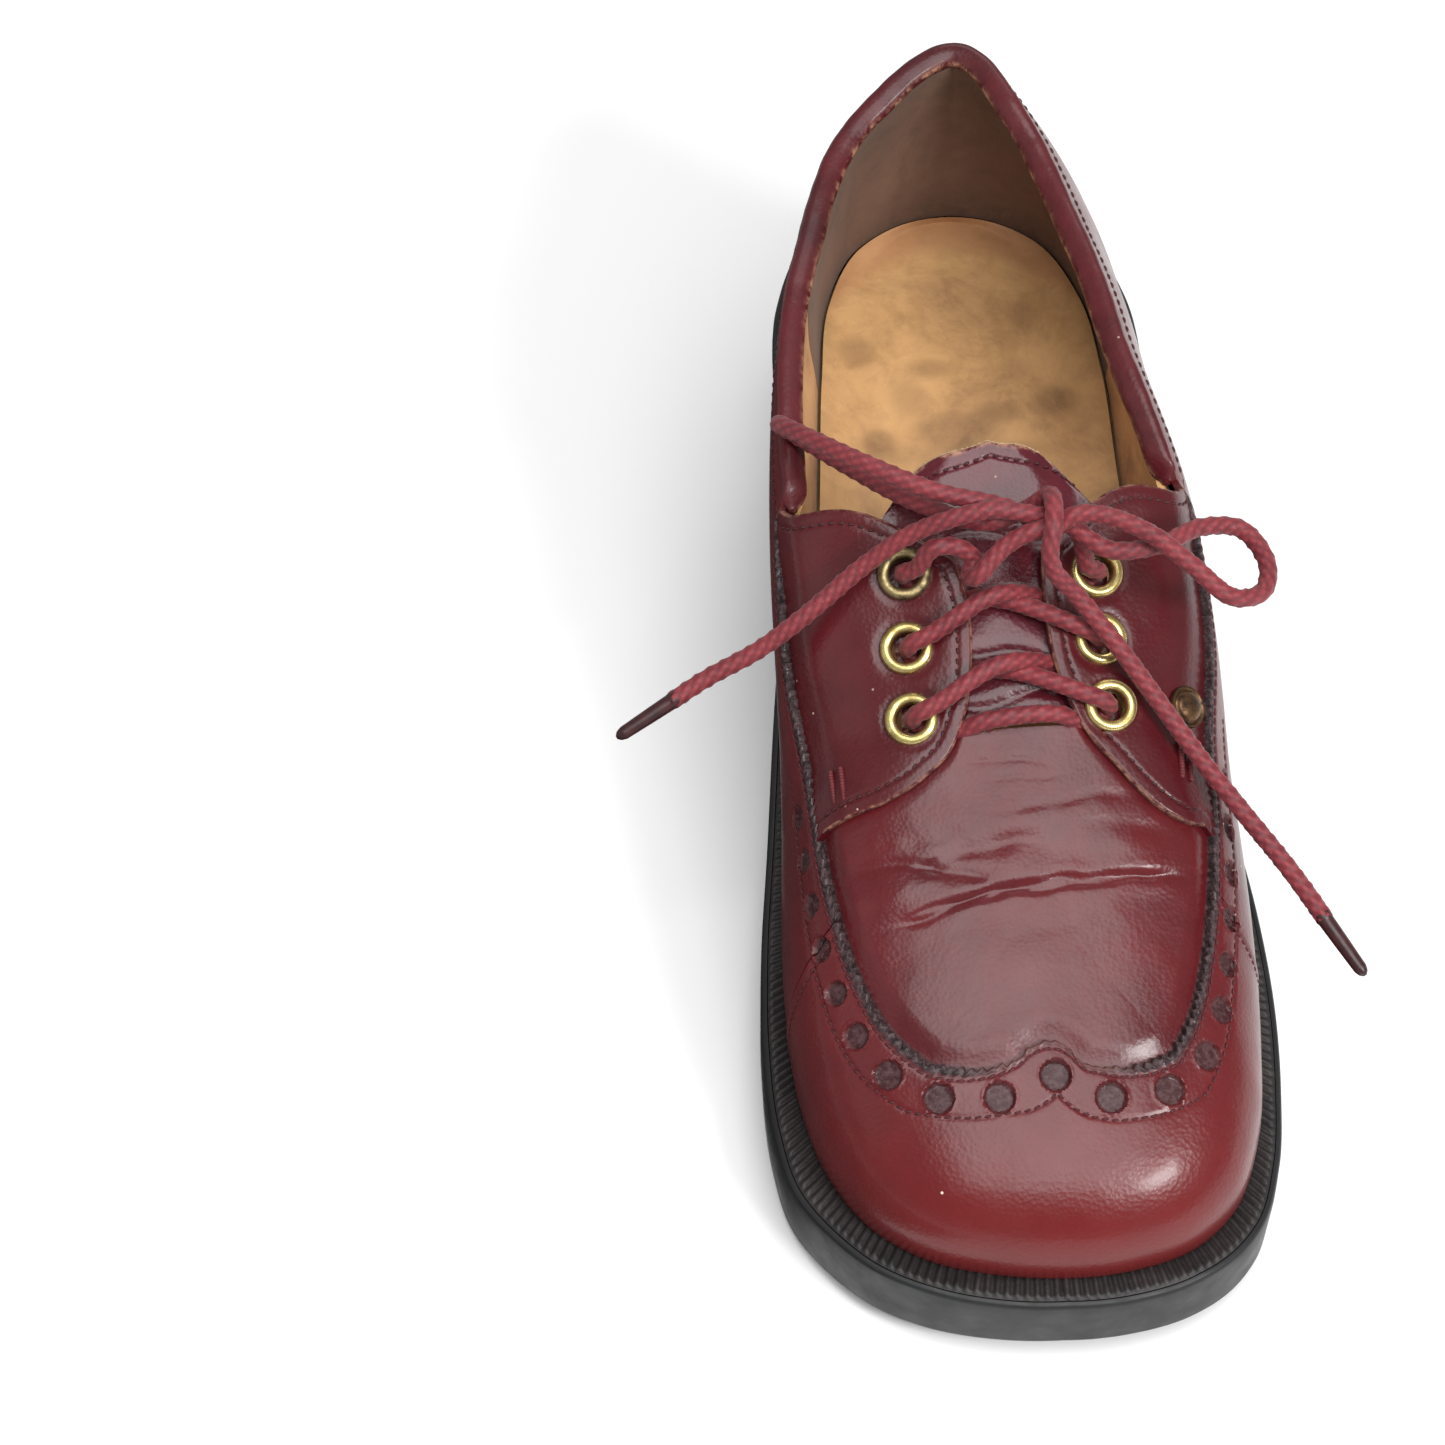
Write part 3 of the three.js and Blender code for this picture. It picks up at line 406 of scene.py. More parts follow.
# ---------------------------------------------------------------- materials
def node_material(name):
    """A new material with its node tree, its shader and a node of object coordinates."""
    m = bpy.data.materials.new(name)
    m.use_nodes = True
    nt = m.node_tree
    return m, nt, nt.nodes["Principled BSDF"], nt.nodes.new("ShaderNodeTexCoord")


def link(nt, a, out, b, inp):
    nt.links.new(a.outputs[out], b.inputs[inp])


def noise(nt, coords, scale, detail=4, rough=0.55, distortion=0.0):
    n = nt.nodes.new("ShaderNodeTexNoise")
    for key, value in (("Scale", scale), ("Detail", detail), ("Roughness", rough), ("Distortion", distortion)):
        n.inputs[key].default_value = value
    link(nt, coords, "Object", n, "Vector")
    return n


def cells(nt, coords, scale):
    n = nt.nodes.new("ShaderNodeTexVoronoi")
    n.inputs["Scale"].default_value = scale
    link(nt, coords, "Object", n, "Vector")
    return n


def ramp(nt, source, out, stops):
    r = nt.nodes.new("ShaderNodeValToRGB")
    link(nt, source, out, r, "Fac")
    e = r.color_ramp.elements
    e[0].position, e[0].color = stops[0][0], (*stops[0][1], 1)
    e[1].position, e[1].color = stops[-1][0], (*stops[-1][1], 1)
    for pos, col in stops[1:-1]:
        x = e.new(pos)
        x.color = (*col, 1)
    return r


def grey(x):
    return (x, x, x)


def srgb(r, g, b):
    """Linear colour from 0 to 255 display values."""
    return tuple((c / 12.92 if c <= 0.04045 else ((c + 0.055) / 1.055) ** 2.4) for c in (r / 255, g / 255, b / 255))


def mix(nt, fac, a, b, blend="MIX"):
    """Colour mix; each of fac, a and b is a value or a (node, output)."""
    n = nt.nodes.new("ShaderNodeMix")
    n.data_type = "RGBA"
    n.blend_type = blend
    sockets = [n.inputs["Factor"], *[s for s in n.inputs if s.type == "RGBA"]]
    for sock, val in zip(sockets, (fac, a, b)):
        if isinstance(val, tuple) and hasattr(val[0], "outputs"):
            nt.links.new(val[0].outputs[val[1]], sock)
        else:
            sock.default_value = val if sock is sockets[0] else (*val, 1)
    return (n, [i for i, o in enumerate(n.outputs) if o.type == "RGBA"][0])


def attribute(nt, name):
    a = nt.nodes.new("ShaderNodeAttribute")
    a.attribute_name = name
    return a


def bump(nt, bsdf, layers):
    """Chains bump nodes; layers are (node, output, strength, distance in m)."""
    last = None
    for node, out, strength, distance in layers:
        b = nt.nodes.new("ShaderNodeBump")
        b.inputs["Strength"].default_value = strength
        b.inputs["Distance"].default_value = distance
        nt.links.new(node.outputs[out], b.inputs["Height"])
        if last:
            nt.links.new(last.outputs["Normal"], b.inputs["Normal"])
        last = b
    nt.links.new(last.outputs["Normal"], bsdf.inputs["Normal"])


def times(nt, a, b):
    """Product of two (node, output), kept within 0 and 1."""
    n = nt.nodes.new("ShaderNodeMath")
    n.operation = "MULTIPLY"
    n.use_clamp = True
    for i, (node, out) in enumerate((a, b)):
        nt.links.new(node.outputs[out], n.inputs[i])
    return n


OX = [srgb(66, 14, 21), srgb(86, 21, 27), srgb(101, 29, 33)]      # dark, mid, light burgundy
EDGE_PALE = srgb(176, 128, 104)


def leather(name, dark=OX[0], mid=OX[1], light=OX[2], rough=(0.25, 0.4), grain=1.0, coat=0.2):
    """Polished full-grain leather: uneven dye, fine pebble grain, worn edges, sooty holes, and painted shade beside the
    mudguard's edge and under the binding.
    """
    m, nt, bsdf, co = node_material(name)
    big = noise(nt, co, 22, 5, 0.6)
    mid_n = noise(nt, co, 130, 4, 0.6)
    base = ramp(nt, big, "Fac", [(0.3, dark), (0.5, mid), (0.72, light)])
    mottled = mix(nt, 0.28, (base, 0), (ramp(nt, mid_n, "Fac", [(0.35, dark), (0.65, light)]), 0))
    pebbles = cells(nt, co, 1150)
    fine = noise(nt, co, 2600, 3, 0.65)
    speck = ramp(nt, pebbles, "Distance", [(0.0, grey(1)), (0.62, grey(0.86))])
    grained = mix(nt, 0.55, mottled, (speck, 0), "MULTIPLY")
    toe = attribute(nt, "red")
    reddened = mix(nt, (toe, 2), grained, srgb(114, 27, 25))
    worn = attribute(nt, "worn")
    scuff = noise(nt, co, 420, 5, 0.7)
    worn_mask = times(nt, (worn, 2), (ramp(nt, scuff, "Fac", [(0.42, grey(0)), (0.6, grey(1))]), 0))
    pale = mix(nt, (worn_mask, 0), reddened, EDGE_PALE)
    nick = ramp(nt, cells(nt, co, 230), "Distance", [(0.045, grey(1)), (0.075, grey(0))])
    some = ramp(nt, noise(nt, co, 38, 3, 0.6), "Fac", [(0.6, grey(0)), (0.64, grey(1))])
    nicks = times(nt, (nick, 0), (some, 0))
    pale = mix(nt, (nicks, 0), pale, srgb(236, 204, 188))
    # Dark dust colour: real dust on the gimped edges, cut edges and in the punched holes, and painted shade on the
    # apron beside the mudguard's edge and under the binding.
    dirt_and_painted_shade = attribute(nt, "dirt_and_painted_shade")
    dust = ramp(nt, noise(nt, co, 900, 4, 0.7), "Fac", [(0.42, srgb(24, 15, 18)), (0.66, srgb(82, 66, 68))])
    dirt_and_shade_colour = mix(nt, (dirt_and_painted_shade, 2), pale, (dust, 0))
    link(nt, *dirt_and_shade_colour, bsdf, "Base Color")
    r1 = ramp(nt, noise(nt, co, 60, 5, 0.65), "Fac", [(0.3, grey(rough[0])), (0.7, grey(rough[1]))])
    r2 = mix(nt, (dirt_and_painted_shade, 2), (r1, 0), grey(0.8))
    r3 = mix(nt, (worn_mask, 0), r2, grey(0.75))
    link(nt, *r3, bsdf, "Roughness")
    bsdf.inputs["Coat Weight"].default_value = coat
    bsdf.inputs["Coat Roughness"].default_value = 0.16
    bsdf.inputs["Specular IOR Level"].default_value = 0.3
    wrinkles = cells(nt, co, 210)
    bump(nt, bsdf, [
        (noise(nt, co, 55, 3, 0.5), "Fac", 0.25 * grain, 0.0012),
        (wrinkles, "Distance", 0.06 * grain, 0.0008),
        (pebbles, "Distance", 0.2 * grain, 0.00028),
        (fine, "Fac", 0.16 * grain, 0.00012),
    ])
    return m


def plain(name, dark, light, rough=(0.4, 0.6), scale=90, grain=(900, 0.2, 0.0002), **inputs):
    """A mottled material: two colours, a roughness range and a fine relief."""
    m, nt, bsdf, co = node_material(name)
    n = noise(nt, co, scale, 6, 0.62)
    c = ramp(nt, n, "Fac", [(0.32, dark), (0.68, light)])
    link(nt, c, "Color", bsdf, "Base Color")
    r = ramp(nt, noise(nt, co, scale * 1.7, 4, 0.6), "Fac", [(0.3, grey(rough[0])), (0.7, grey(rough[1]))])
    link(nt, r, "Color", bsdf, "Roughness")
    for key, value in inputs.items():
        bsdf.inputs[key].default_value = value
    bump(nt, bsdf, [(noise(nt, co, grain[0], 4, 0.6), "Fac", grain[1], grain[2])])
    return m


def lining_material(name, base, stain, deep, stains=0.75, rough=(0.55, 0.75), scale=30):
    """Undyed lining leather with foot wear: blotched stains, and darker patches: foot stains on the sock, painted shade
    low on the side linings and the heel grip.
    """
    m, nt, bsdf, co = node_material(name)
    a = noise(nt, co, scale, 8, 0.68, 0.6)
    b = noise(nt, co, scale * 4.2, 6, 0.7, 0.3)
    c1 = ramp(nt, a, "Fac", [(0.36, base), (0.52, stain), (0.66, deep)])
    c2 = mix(nt, 0.35 * stains + 0.1, (c1, 0), (ramp(nt, b, "Fac", [(0.38, deep), (0.56, base)]), 0))
    dirt_and_painted_shade = attribute(nt, "dirt_and_painted_shade")
    c2 = mix(nt, (attribute(nt, "red"), 2), c2, srgb(172, 118, 80))
    # These darker patches are the sock's foot stains, and painted shade low on the side linings and the heel grip.
    stains_and_painted_shade = times(nt, (dirt_and_painted_shade, 2), (ramp(nt, b, "Fac", [(0.36, grey(0.35)), (0.6, grey(1))]), 0))
    c3 = mix(nt, (stains_and_painted_shade, 0), c2, tuple(x * 0.62 for x in deep))
    link(nt, *c3, bsdf, "Base Color")
    r = ramp(nt, b, "Fac", [(0.3, grey(rough[0])), (0.7, grey(rough[1]))])
    link(nt, r, "Color", bsdf, "Roughness")
    bsdf.inputs["Sheen Weight"].default_value = 0.1
    bump(nt, bsdf, [(a, "Fac", 0.2, 0.001), (cells(nt, co, 1400), "Distance", 0.15, 0.0002)])
    return m


def thread_material(name, color):
    m, nt, bsdf, co = node_material(name)
    c = ramp(nt, noise(nt, co, 700, 2), "Fac", [(0.3, tuple(x * 0.6 for x in color)), (0.7, color)])
    link(nt, c, "Color", bsdf, "Base Color")
    bsdf.inputs["Roughness"].default_value = 0.6
    bump(nt, bsdf, [(noise(nt, co, 3800, 2), "Fac", 0.5, 0.0002)])
    return m


def lace_material():
    """Waxed braided cord: painted shade darkens the gaps between strands, painted highlight lightens their tops, with
    pale dust specks.
    """
    m, nt, bsdf, co = node_material("lace_cord")
    # Colour from the strands' height: painted shade in the gaps, painted highlight on the strand tops.
    high = attribute(nt, "strand_shade_and_highlight")
    a = ramp(nt, high, "Fac", [(0.0, srgb(40, 8, 14)), (0.45, srgb(112, 30, 40)), (1.0, srgb(148, 54, 60))])
    blotch = ramp(nt, noise(nt, co, 160, 5, 0.6), "Fac", [(0.35, srgb(96, 22, 32)), (0.65, srgb(140, 46, 52))])
    c = mix(nt, 0.4, (a, 0), (blotch, 0))
    dust = ramp(nt, noise(nt, co, 2200, 3, 0.7), "Fac", [(0.6, grey(0)), (0.76, grey(0.4))])
    c2 = mix(nt, (dust, 0), c, srgb(186, 118, 112))
    link(nt, *c2, bsdf, "Base Color")
    bsdf.inputs["Roughness"].default_value = 0.58
    bsdf.inputs["Sheen Weight"].default_value = 0.1
    bump(nt, bsdf, [(noise(nt, co, 4200, 2), "Fac", 0.35, 0.00016)])
    return m


def brass_material(name, color, dull, rough=(0.2, 0.42)):
    m, nt, bsdf, co = node_material(name)
    n = noise(nt, co, 380, 6, 0.7)
    c = ramp(nt, n, "Fac", [(0.36, dull), (0.58, color)])
    link(nt, c, "Color", bsdf, "Base Color")
    r = ramp(nt, n, "Fac", [(0.3, grey(rough[1])), (0.7, grey(rough[0]))])
    link(nt, r, "Color", bsdf, "Roughness")
    bsdf.inputs["Metallic"].default_value = 0.92
    bump(nt, bsdf, [(noise(nt, co, 1500, 3), "Fac", 0.15, 0.0001)])
    return m


def ribbed_black(name):
    m, nt, bsdf, co = node_material(name)
    dust = attribute(nt, "worn")
    scuff = ramp(nt, noise(nt, co, 260, 6, 0.7), "Fac", [(0.45, grey(0)), (0.7, grey(1))])
    fac = times(nt, (dust, 2), (scuff, 0))
    base = ramp(nt, noise(nt, co, 150, 5), "Fac", [(0.3, srgb(16, 13, 14)), (0.7, srgb(34, 26, 27))])
    c = mix(nt, (fac, 0), (base, 0), srgb(96, 84, 82))
    link(nt, *c, bsdf, "Base Color")
    bsdf.inputs["Roughness"].default_value = 0.55
    bump(nt, bsdf, [(noise(nt, co, 1300, 4), "Fac", 0.3, 0.0002)])
    return m


MAT = {
    "upper": leather("burgundy_leather"),
    "facing": leather("facing_leather", OX[0], srgb(76, 18, 24), srgb(90, 26, 31), (0.25, 0.38), 1.0),
    "tongue": leather("tongue_leather", srgb(66, 15, 25), srgb(86, 22, 33), srgb(100, 32, 42), (0.2, 0.32), 1.1, 0.25),
    "trim": leather("edge_leather", srgb(56, 16, 20), srgb(84, 24, 30), srgb(102, 36, 40), (0.34, 0.52), 1.0, 0.15),
    "thread": thread_material("burgundy_thread", srgb(66, 12, 18)),
    "dark_thread": thread_material("dark_thread", srgb(80, 16, 24)),
    "tack": thread_material("tack_thread", srgb(104, 26, 32)),
    "lining": lining_material("tan_lining", srgb(232, 182, 122), srgb(214, 160, 102), srgb(158, 110, 66), 0.35),
    "sock": lining_material("tan_sock", srgb(210, 164, 110), srgb(192, 148, 96), srgb(156, 116, 76),
                             0.55, (0.5, 0.7), 34),
    "grip": lining_material("grip_lining", srgb(124, 92, 74), srgb(114, 84, 66), srgb(96, 70, 55),
                             0.4, (0.75, 0.9), 60),
    "stiffener": plain("stiffener", srgb(150, 140, 120), srgb(190, 180, 160), (0.8, 0.9)),
    "fibre": plain("insole_fibre", srgb(120, 92, 60), srgb(158, 124, 84), (0.75, 0.9)),
    "steel": plain("steel", srgb(120, 122, 124), srgb(170, 172, 176), (0.25, 0.4), Metallic=1.0),
    "sole": plain("black_sole", srgb(14, 14, 16), srgb(25, 26, 28), (0.42, 0.6), 70, (500, 0.18, 0.0003)),
    "heel": plain("black_heel", srgb(14, 14, 15), srgb(26, 25, 27), (0.24, 0.4), 60, (400, 0.12, 0.0002)),
    "top_piece": plain("black_top_piece", srgb(18, 18, 18), srgb(34, 33, 33), (0.7, 0.85), 120, (700, 0.4, 0.0003)),
    "welt": ribbed_black("black_welt"),
    "brass": brass_material("eyelet_brass", srgb(226, 206, 138), srgb(160, 138, 84)),
    "tarnish": brass_material("tarnished_brass", srgb(168, 150, 108), srgb(84, 72, 54), (0.35, 0.6)),
    "stud": brass_material("stud_brass", srgb(112, 84, 58), srgb(52, 38, 32), (0.3, 0.55)),
    "lace": lace_material(),
    "aglet": plain("aglet_wax", srgb(38, 14, 16), srgb(66, 26, 28), (0.3, 0.45), 300),
}


def dress(obj, mat, slot, *nodes):
    """Gives a piece its material and the CAD nodes that it stands for; the slot argument is not used."""
    obj.data.materials.clear()
    obj.data.materials.append(MAT[mat])
    if nodes:
        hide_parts(*nodes)
    return obj


# ---------------------------------------------------------------- upper
def even_u(a, b, spacing, v=0.5):
    """u stations evenly spaced in mm along v."""
    u = np.linspace(a, b, 2000)
    d = arc(skin(u, v))
    return np.interp(np.linspace(0, d[-1], int(d[-1] / spacing) + 1), d, u)


def rounded(d, r=0.55):
    """How much a leather's face drops towards its cut edge, d mm away."""
    x = np.clip(1 - d / r, 0, 1)
    return r * (1 - np.sqrt(np.clip(1 - x * x, 0, 1)))


def punch_centres():
    """(u, v, radius) of the band's punched holes: one at the toe's peak, smaller and closer ones down the sides."""
    out = [(0.0, 0.672, 2.95)]
    for side in (1, -1):
        s = np.linspace(0, 0.42, 1500)
        away = 6.0 + 1.2 * step(s, 0.07, 0.2)
        v = seam_v(side * s) - away / mm_per_v(side * s, 0.6)
        d = arc(skin(side * s, v))
        at = 0.0
        for k in range(1, 14):
            at += 11.6 - 2.0 * step(k, 2, 5)
            if at > d[-1]:
                break
            x = np.interp(at, d, s)
            out.append((side * x, float(np.interp(x, s, v)), 2.95 - 0.5 * float(step(k, 2, 5))))
    return out


HOLES = punch_centres()
HOLE_POINTS = np.array([on_skin(np.array(a), np.array(b)) for a, b, r in HOLES])


def hole_depth(P):
    """How deep a point lies in a punched hole (0 to 1), and how near it is to a hole's rim."""
    d = np.full(P.shape[:-1], 99.0)
    for c, (_, _, r) in zip(HOLE_POINTS, HOLES):
        d = np.minimum(d, np.linalg.norm(P - c, axis=-1) - r)
    return step(0.25 - d, 0, 0.6), step(np.abs(d - 0.2), 0.7, 0.0)


def groove(d, depth=0.22, width=0.55):
    """A stitch row's furrow: d is the distance from it in mm."""
    return -depth * np.exp(-((d / width) ** 2))


def teeth(mm, pitch, height):
    x = (mm / pitch) % 1.0
    return height * (1 - np.abs(2 * x - 1)) - height * 0.5


FEATHER_V = 0.002


def band_rows(near=24, fine=0.45):
    """Distances in mm from a seam edge, close together near it."""
    return np.concatenate([[0, 0.12, 0.28, 0.45, 0.62, 0.8, 1.0, 1.25], np.arange(1.6, near, fine)])


def banded_panel(u, red_at):
    """Mudguard and quarter fronts: gimped edge, stitch rows, punched holes, all set out from the apron seam."""
    rows = band_rows()
    vs = seam_v(u)
    mmv = mm_per_v(u, vs - 0.12)
    V0 = vs[:, None] - rows[None] / mmv[:, None]
    rest = np.linspace(0, 1, 40)[1:]
    V1 = V0[:, -1:] + (FEATHER_V - V0[:, -1:]) * rest
    V = np.concatenate([V0, V1], 1)
    D = (vs[:, None] - V) * mmv[:, None]
    mm = arc(skin(u, vs))
    wide = step(np.abs(u), 0.04, 0.12)
    knots = np.arange(0, mm[-1] + 2, 1.1)
    jag = teeth(mm, 1.9, 0.3 + 0.6 * wide) + 0.35 * np.interp(mm, knots, RNG.normal(0, 1, len(knots))) * 0.6
    V += (jag[:, None] * step(D, 2.2, 0.2)) / mmv[:, None]
    U = np.repeat(u[:, None], V.shape[1], 1)
    P = on_skin(U, V)
    hole, rim = hole_depth(P)
    row = (V - both(BAND_ROW, U)) * mmv[:, None]
    H = 0.25 + 0.35 * step(D, 9, 0) - rounded(D, 0.5)
    first = (1.1 + 0.8 * wide)[:, None]
    H += groove(D - first) + groove(row) * step(np.abs(U), 0.45, 0.42) - 0.95 * hole + 0.12 * rim * (1 - hole)
    H += 0.14 * step(D, first, 0) * np.sin(mm * 2.86)[:, None] * wide[:, None]
    dirt_and_painted_shade = np.clip(step(D, first * 0.95, first * 0.7) * (0.35 + 0.6 * wide[:, None]) + 0.72 * hole, 0, 1)
    worn = step(D, 0.8, 0.2) * 0.3
    return U, V, H, [("dirt_and_painted_shade", dirt_and_painted_shade), ("worn", worn), ("red", red_at(U, V))]


MM_PER_U = 270   # about, along a side


def toe_red(U, V):
    """Warmer, redder dye low on the toe and the band."""
    return 0.5 * step(np.abs(U), 0.34, 0.02) * step(V, 0.75, 0.2) + 0.12


def mudguard():
    u = even_u(-SIDE_SEAM + 0.001, SIDE_SEAM - 0.001, 0.33)
    U, V, H, attrs = banded_panel(u, toe_red)
    side = (SIDE_SEAM - np.abs(U)) * MM_PER_U
    H -= rounded(side, 0.5)
    H += 0.25 * step(side, 5, 0) + groove(side - 2.2)
    grid = slice(None, None, -1)
    o = shell("leather_mudguard", U[:, grid], V[:, grid], H[:, grid], LEATHER_T,
              attributes=[(k, a[:, grid]) for k, a in attrs])
    return dress(o, "upper", "burgundy_leather", "toe_mudguard")


def quarter(side):
    """One side of the upper: its front under the apron seam, and its back up to the topline."""
    c = COLLAR[side]
    s = np.abs(even_u(SIDE_SEAM + 0.001, c - 0.002, 0.5))
    u = side * s
    if side < 0:
        u = u[::-1]
    U, V, H, attrs = banded_panel(u, lambda U, V: 0.12 + 0 * U)
    # the back of the quarter, up to the topline
    sb = np.abs(even_u(c + 0.0015, 1.0, 1.0))
    ub = side * sb
    if side < 0:
        ub = ub[::-1]
    Wb = np.linspace(0, 1, V.shape[1])
    top = both(TOPLINE, ub) + 0.004
    Vb = top[:, None] + (FEATHER_V - top[:, None]) * Wb ** 1.1
    Ub = np.repeat(ub[:, None], V.shape[1], 1)
    Db = (top[:, None] - Vb) * mm_per_v(ub, top - 0.1)[:, None]
    Hb = 0.25 + groove(Db - 4.2, 0.15)
    parts = [(U, Ub), (V, Vb), (H, Hb)] if side > 0 else [(Ub, U), (Vb, V), (Hb, H)]
    U, V, H = (np.concatenate(p) for p in parts)
    zero = {"dirt_and_painted_shade": Ub * 0, "worn": Ub * 0, "red": Ub * 0 + 0.12}
    attrs = [(k, np.concatenate([a, zero[k]] if side > 0 else [zero[k], a])) for k, a in attrs]
    H = H + 0.35 * gauss((np.abs(U) - 0.43) / 0.03) * np.sin(V * 40) * 0.3
    back = (1 - np.abs(U)) * MM_PER_U
    H += groove(back, 0.5, 0.5)
    g = slice(None, None, -1)
    o = shell("leather_quarter_" + NAME[side], U[:, g], V[:, g], H[:, g], LEATHER_T,
              attributes=[(k, a[:, g]) for k, a in attrs])
    return dress(o, "upper", "burgundy_leather", "quarter_" + NAME[side])


# Walking folds across the apron: route in (x, y) mm, depth and width of the valley in mm.
FOLDS = [
    ([(-9.3, -47.6), (2, -46.6), (18.2, -44.6), (29.6, -45.4)], 0.22, 1.1),
    ([(-34.5, -55.2), (-26.5, -54.6), (-18.3, -56.4), (-10, -58.4), (-4, -59.5)], 0.42, 1.1),
    ([(-24, -57.8), (-12.7, -54.6), (2, -52.4), (7, -53.2)], 0.4, 1.5),
    ([(-33.5, -66.8), (-20.3, -65.6), (-10, -62.8), (7.8, -61), (21.9, -59.6), (36, -57)], 0.5, 0.9),
    ([(-20, -64.0), (-9, -61.6), (3, -59.9), (14.8, -59.4), (36, -59.0)], 0.32, 0.7),
    ([(-26, -65.2), (-14, -63.0), (-2, -61.0), (8, -60.4)], 0.25, 0.5),
    ([(-6, -69.5), (2, -69.2), (12, -66.8)], 0.15, 1.8),
    ([(-12, -38.6), (-3, -38.0), (8, -39.2)], 0.14, 0.6), ([(-8, -41.2), (2, -41.4), (11, -40.8)], 0.12, 0.6),
    ([(-30, -50.5), (-20, -51.2), (-9, -50.4)], 0.2, 1.6), ([(10, -49.8), (22, -50.2), (31, -51.6)], 0.2, 1.5),
]
# Swells between the folds: x, y, half width, half length, height in mm.
SWELLS = [(-24, -61.0, 10, 3.4, 0.75), (22, -54, 12, 3.4, 0.6), (8, -48.5, 16, 3.4, 0.4), (-4, -74, 22, 7, 0.35),
          (0, -57, 9, 2.4, 0.4)]


def fold_height(P):
    """Height that the walking folds add: valleys with a soft lip beside each, and swells between them."""
    h = np.zeros(P.shape[:-1])
    x, y = P[..., 0], P[..., 1]
    for k, (route, depth, width) in enumerate(FOLDS):
        line = spline([(a, b, 0) for a, b in route], 0.5)
        lx, ly = line[:, 0], line[:, 1]
        slope = np.interp(x, lx, np.gradient(ly, lx))
        d = (y - np.interp(x, lx, ly) - 0.2 * np.sin(x * 0.55 + k)) / np.sqrt(1 + slope ** 2)
        t = (x - lx[0]) / (lx[-1] - lx[0])
        fade = np.clip(np.minimum(t, 1 - t) * 4, 0, 1)
        fade = fade * fade * (3 - 2 * fade) * (0.85 + 0.15 * np.sin(x * 0.8 + 2 * k))
        lips = 0.45 * gauss((d - 2.6 * width) / (1.9 * width)) + 0.3 * gauss((d + 2.6 * width) / (1.9 * width))
        h += fade * depth * (lips - gauss(d / width))
    for x0, y0, wx, wy, up in SWELLS:
        h += up * np.exp(-(((x - x0) / wx) ** 2) - ((y - y0) / wy) ** 2)
    return h


def throat_s(side, v):
    """Front edge of a facing: its s at a height v."""
    c = THROAT[side](np.linspace(0, 1, 200))
    front = c[: int(c[:, 1].argmax()) + 1]
    return np.interp(v, front[:, 1], front[:, 0], left=front[0, 0], right=front[-1, 0])


def apron():
    """The apron from its seam up to the tongue, with its walking folds; its sides go down under the facings."""
    reach = 0.385
    t = np.linspace(-1, 1, 661)
    low = seam_v(t * reach) - 3.4 / mm_per_v(t * reach, 0.6)
    w = np.linspace(0, 1, 240)
    V = low[:, None] + (1 - low[:, None]) * w
    U = t[:, None] * (TONGUE_BASE(V) - 0.002)
    P = on_skin(U, V)
    edge_u = np.linspace(-reach, reach, 420)
    D = polyline_distance(P, on_skin(edge_u, seam_v(edge_u))) * np.sign(V - seam_v(U))
    front = np.where(U > 0, throat_s(1, V), throat_s(-1, V))
    front = np.where(V > 0.9, 0.322, front)
    under = step(np.abs(U) - front, -0.012, 0.028)
    H = -1.15 + 1.15 * step(D, -0.5, 5.5) + fold_height(P) * (1 - under) * step(D, 0, 5) - 2.0 * under * step(D, -1, 5)
    # Darker strip on the apron along the mudguard's gimped edge: the edge's dark frayed fibres at the sides, and
    # painted shadow under the raised edge all along.
    dirt_and_painted_shade = (0.15 + 0.6 * step(np.abs(U), 0.05, 0.14)) * step(D, 0.9, 0.1)
    attrs = [("dirt_and_painted_shade", dirt_and_painted_shade), ("worn", U * 0), ("red", U * 0 + 0.08)]
    o = shell("leather_apron", U, V, H, LEATHER_T - 0.2, folded=True, attributes=attrs, weld=4e-6)
    return dress(o, "upper", "burgundy_leather", "vamp_apron")


def polyline_distance(P, line):
    """Distance in mm from each point of a grid to a dense polyline's points."""
    flat = P.reshape(-1, 3)
    out = np.empty(len(flat))
    for a in range(0, len(flat), 20000):
        out[a:a + 20000] = np.sqrt(((flat[a:a + 20000, None] - line[None]) ** 2).sum(-1)).min(1)
    return out.reshape(P.shape[:-1])


def facing_uv(side, t, w):
    """A facing's own frame: t from the toe end to the ankle end, w from under the quarter (0) to its free edge (1)."""
    front = THROAT[side].v[0, 0]
    low_s = front + (COLLAR[side] - 0.003 - front) * t
    low_v = seam_v(side * low_s) - 0.016
    high = THROAT[side](t)
    bow = (0.041 if side > 0 else 0.036) * t * t * np.sin(np.pi * w ** 1.8) + 0.015 * t * t * (1 - w)
    return side * (low_s + (high[..., 0] - low_s) * w + bow), low_v + (high[..., 1] - low_v) * w


def facing_height(U, V, edge):
    """Height of a facing over the skin: tucked under the quarter, then rising to its free edge."""
    seam = (V - seam_v(U)) * mm_per_v(U, V)
    return -1.0 + 1.0 * step(seam, 0.3, 11) + 1.3 * step(edge, 17, 1.5)


def throat_line(side):
    """Points along a facing's free edge: up the throat and down its top towards the binding."""
    c = THROAT[side](np.linspace(0, 1, 600))
    w = np.linspace(1, 0.06, 300)
    top_u, top_v = facing_uv(side, np.ones(300), w)
    return np.concatenate([on_skin(side * c[:, 0], c[:, 1]), on_skin(top_u, top_v)])


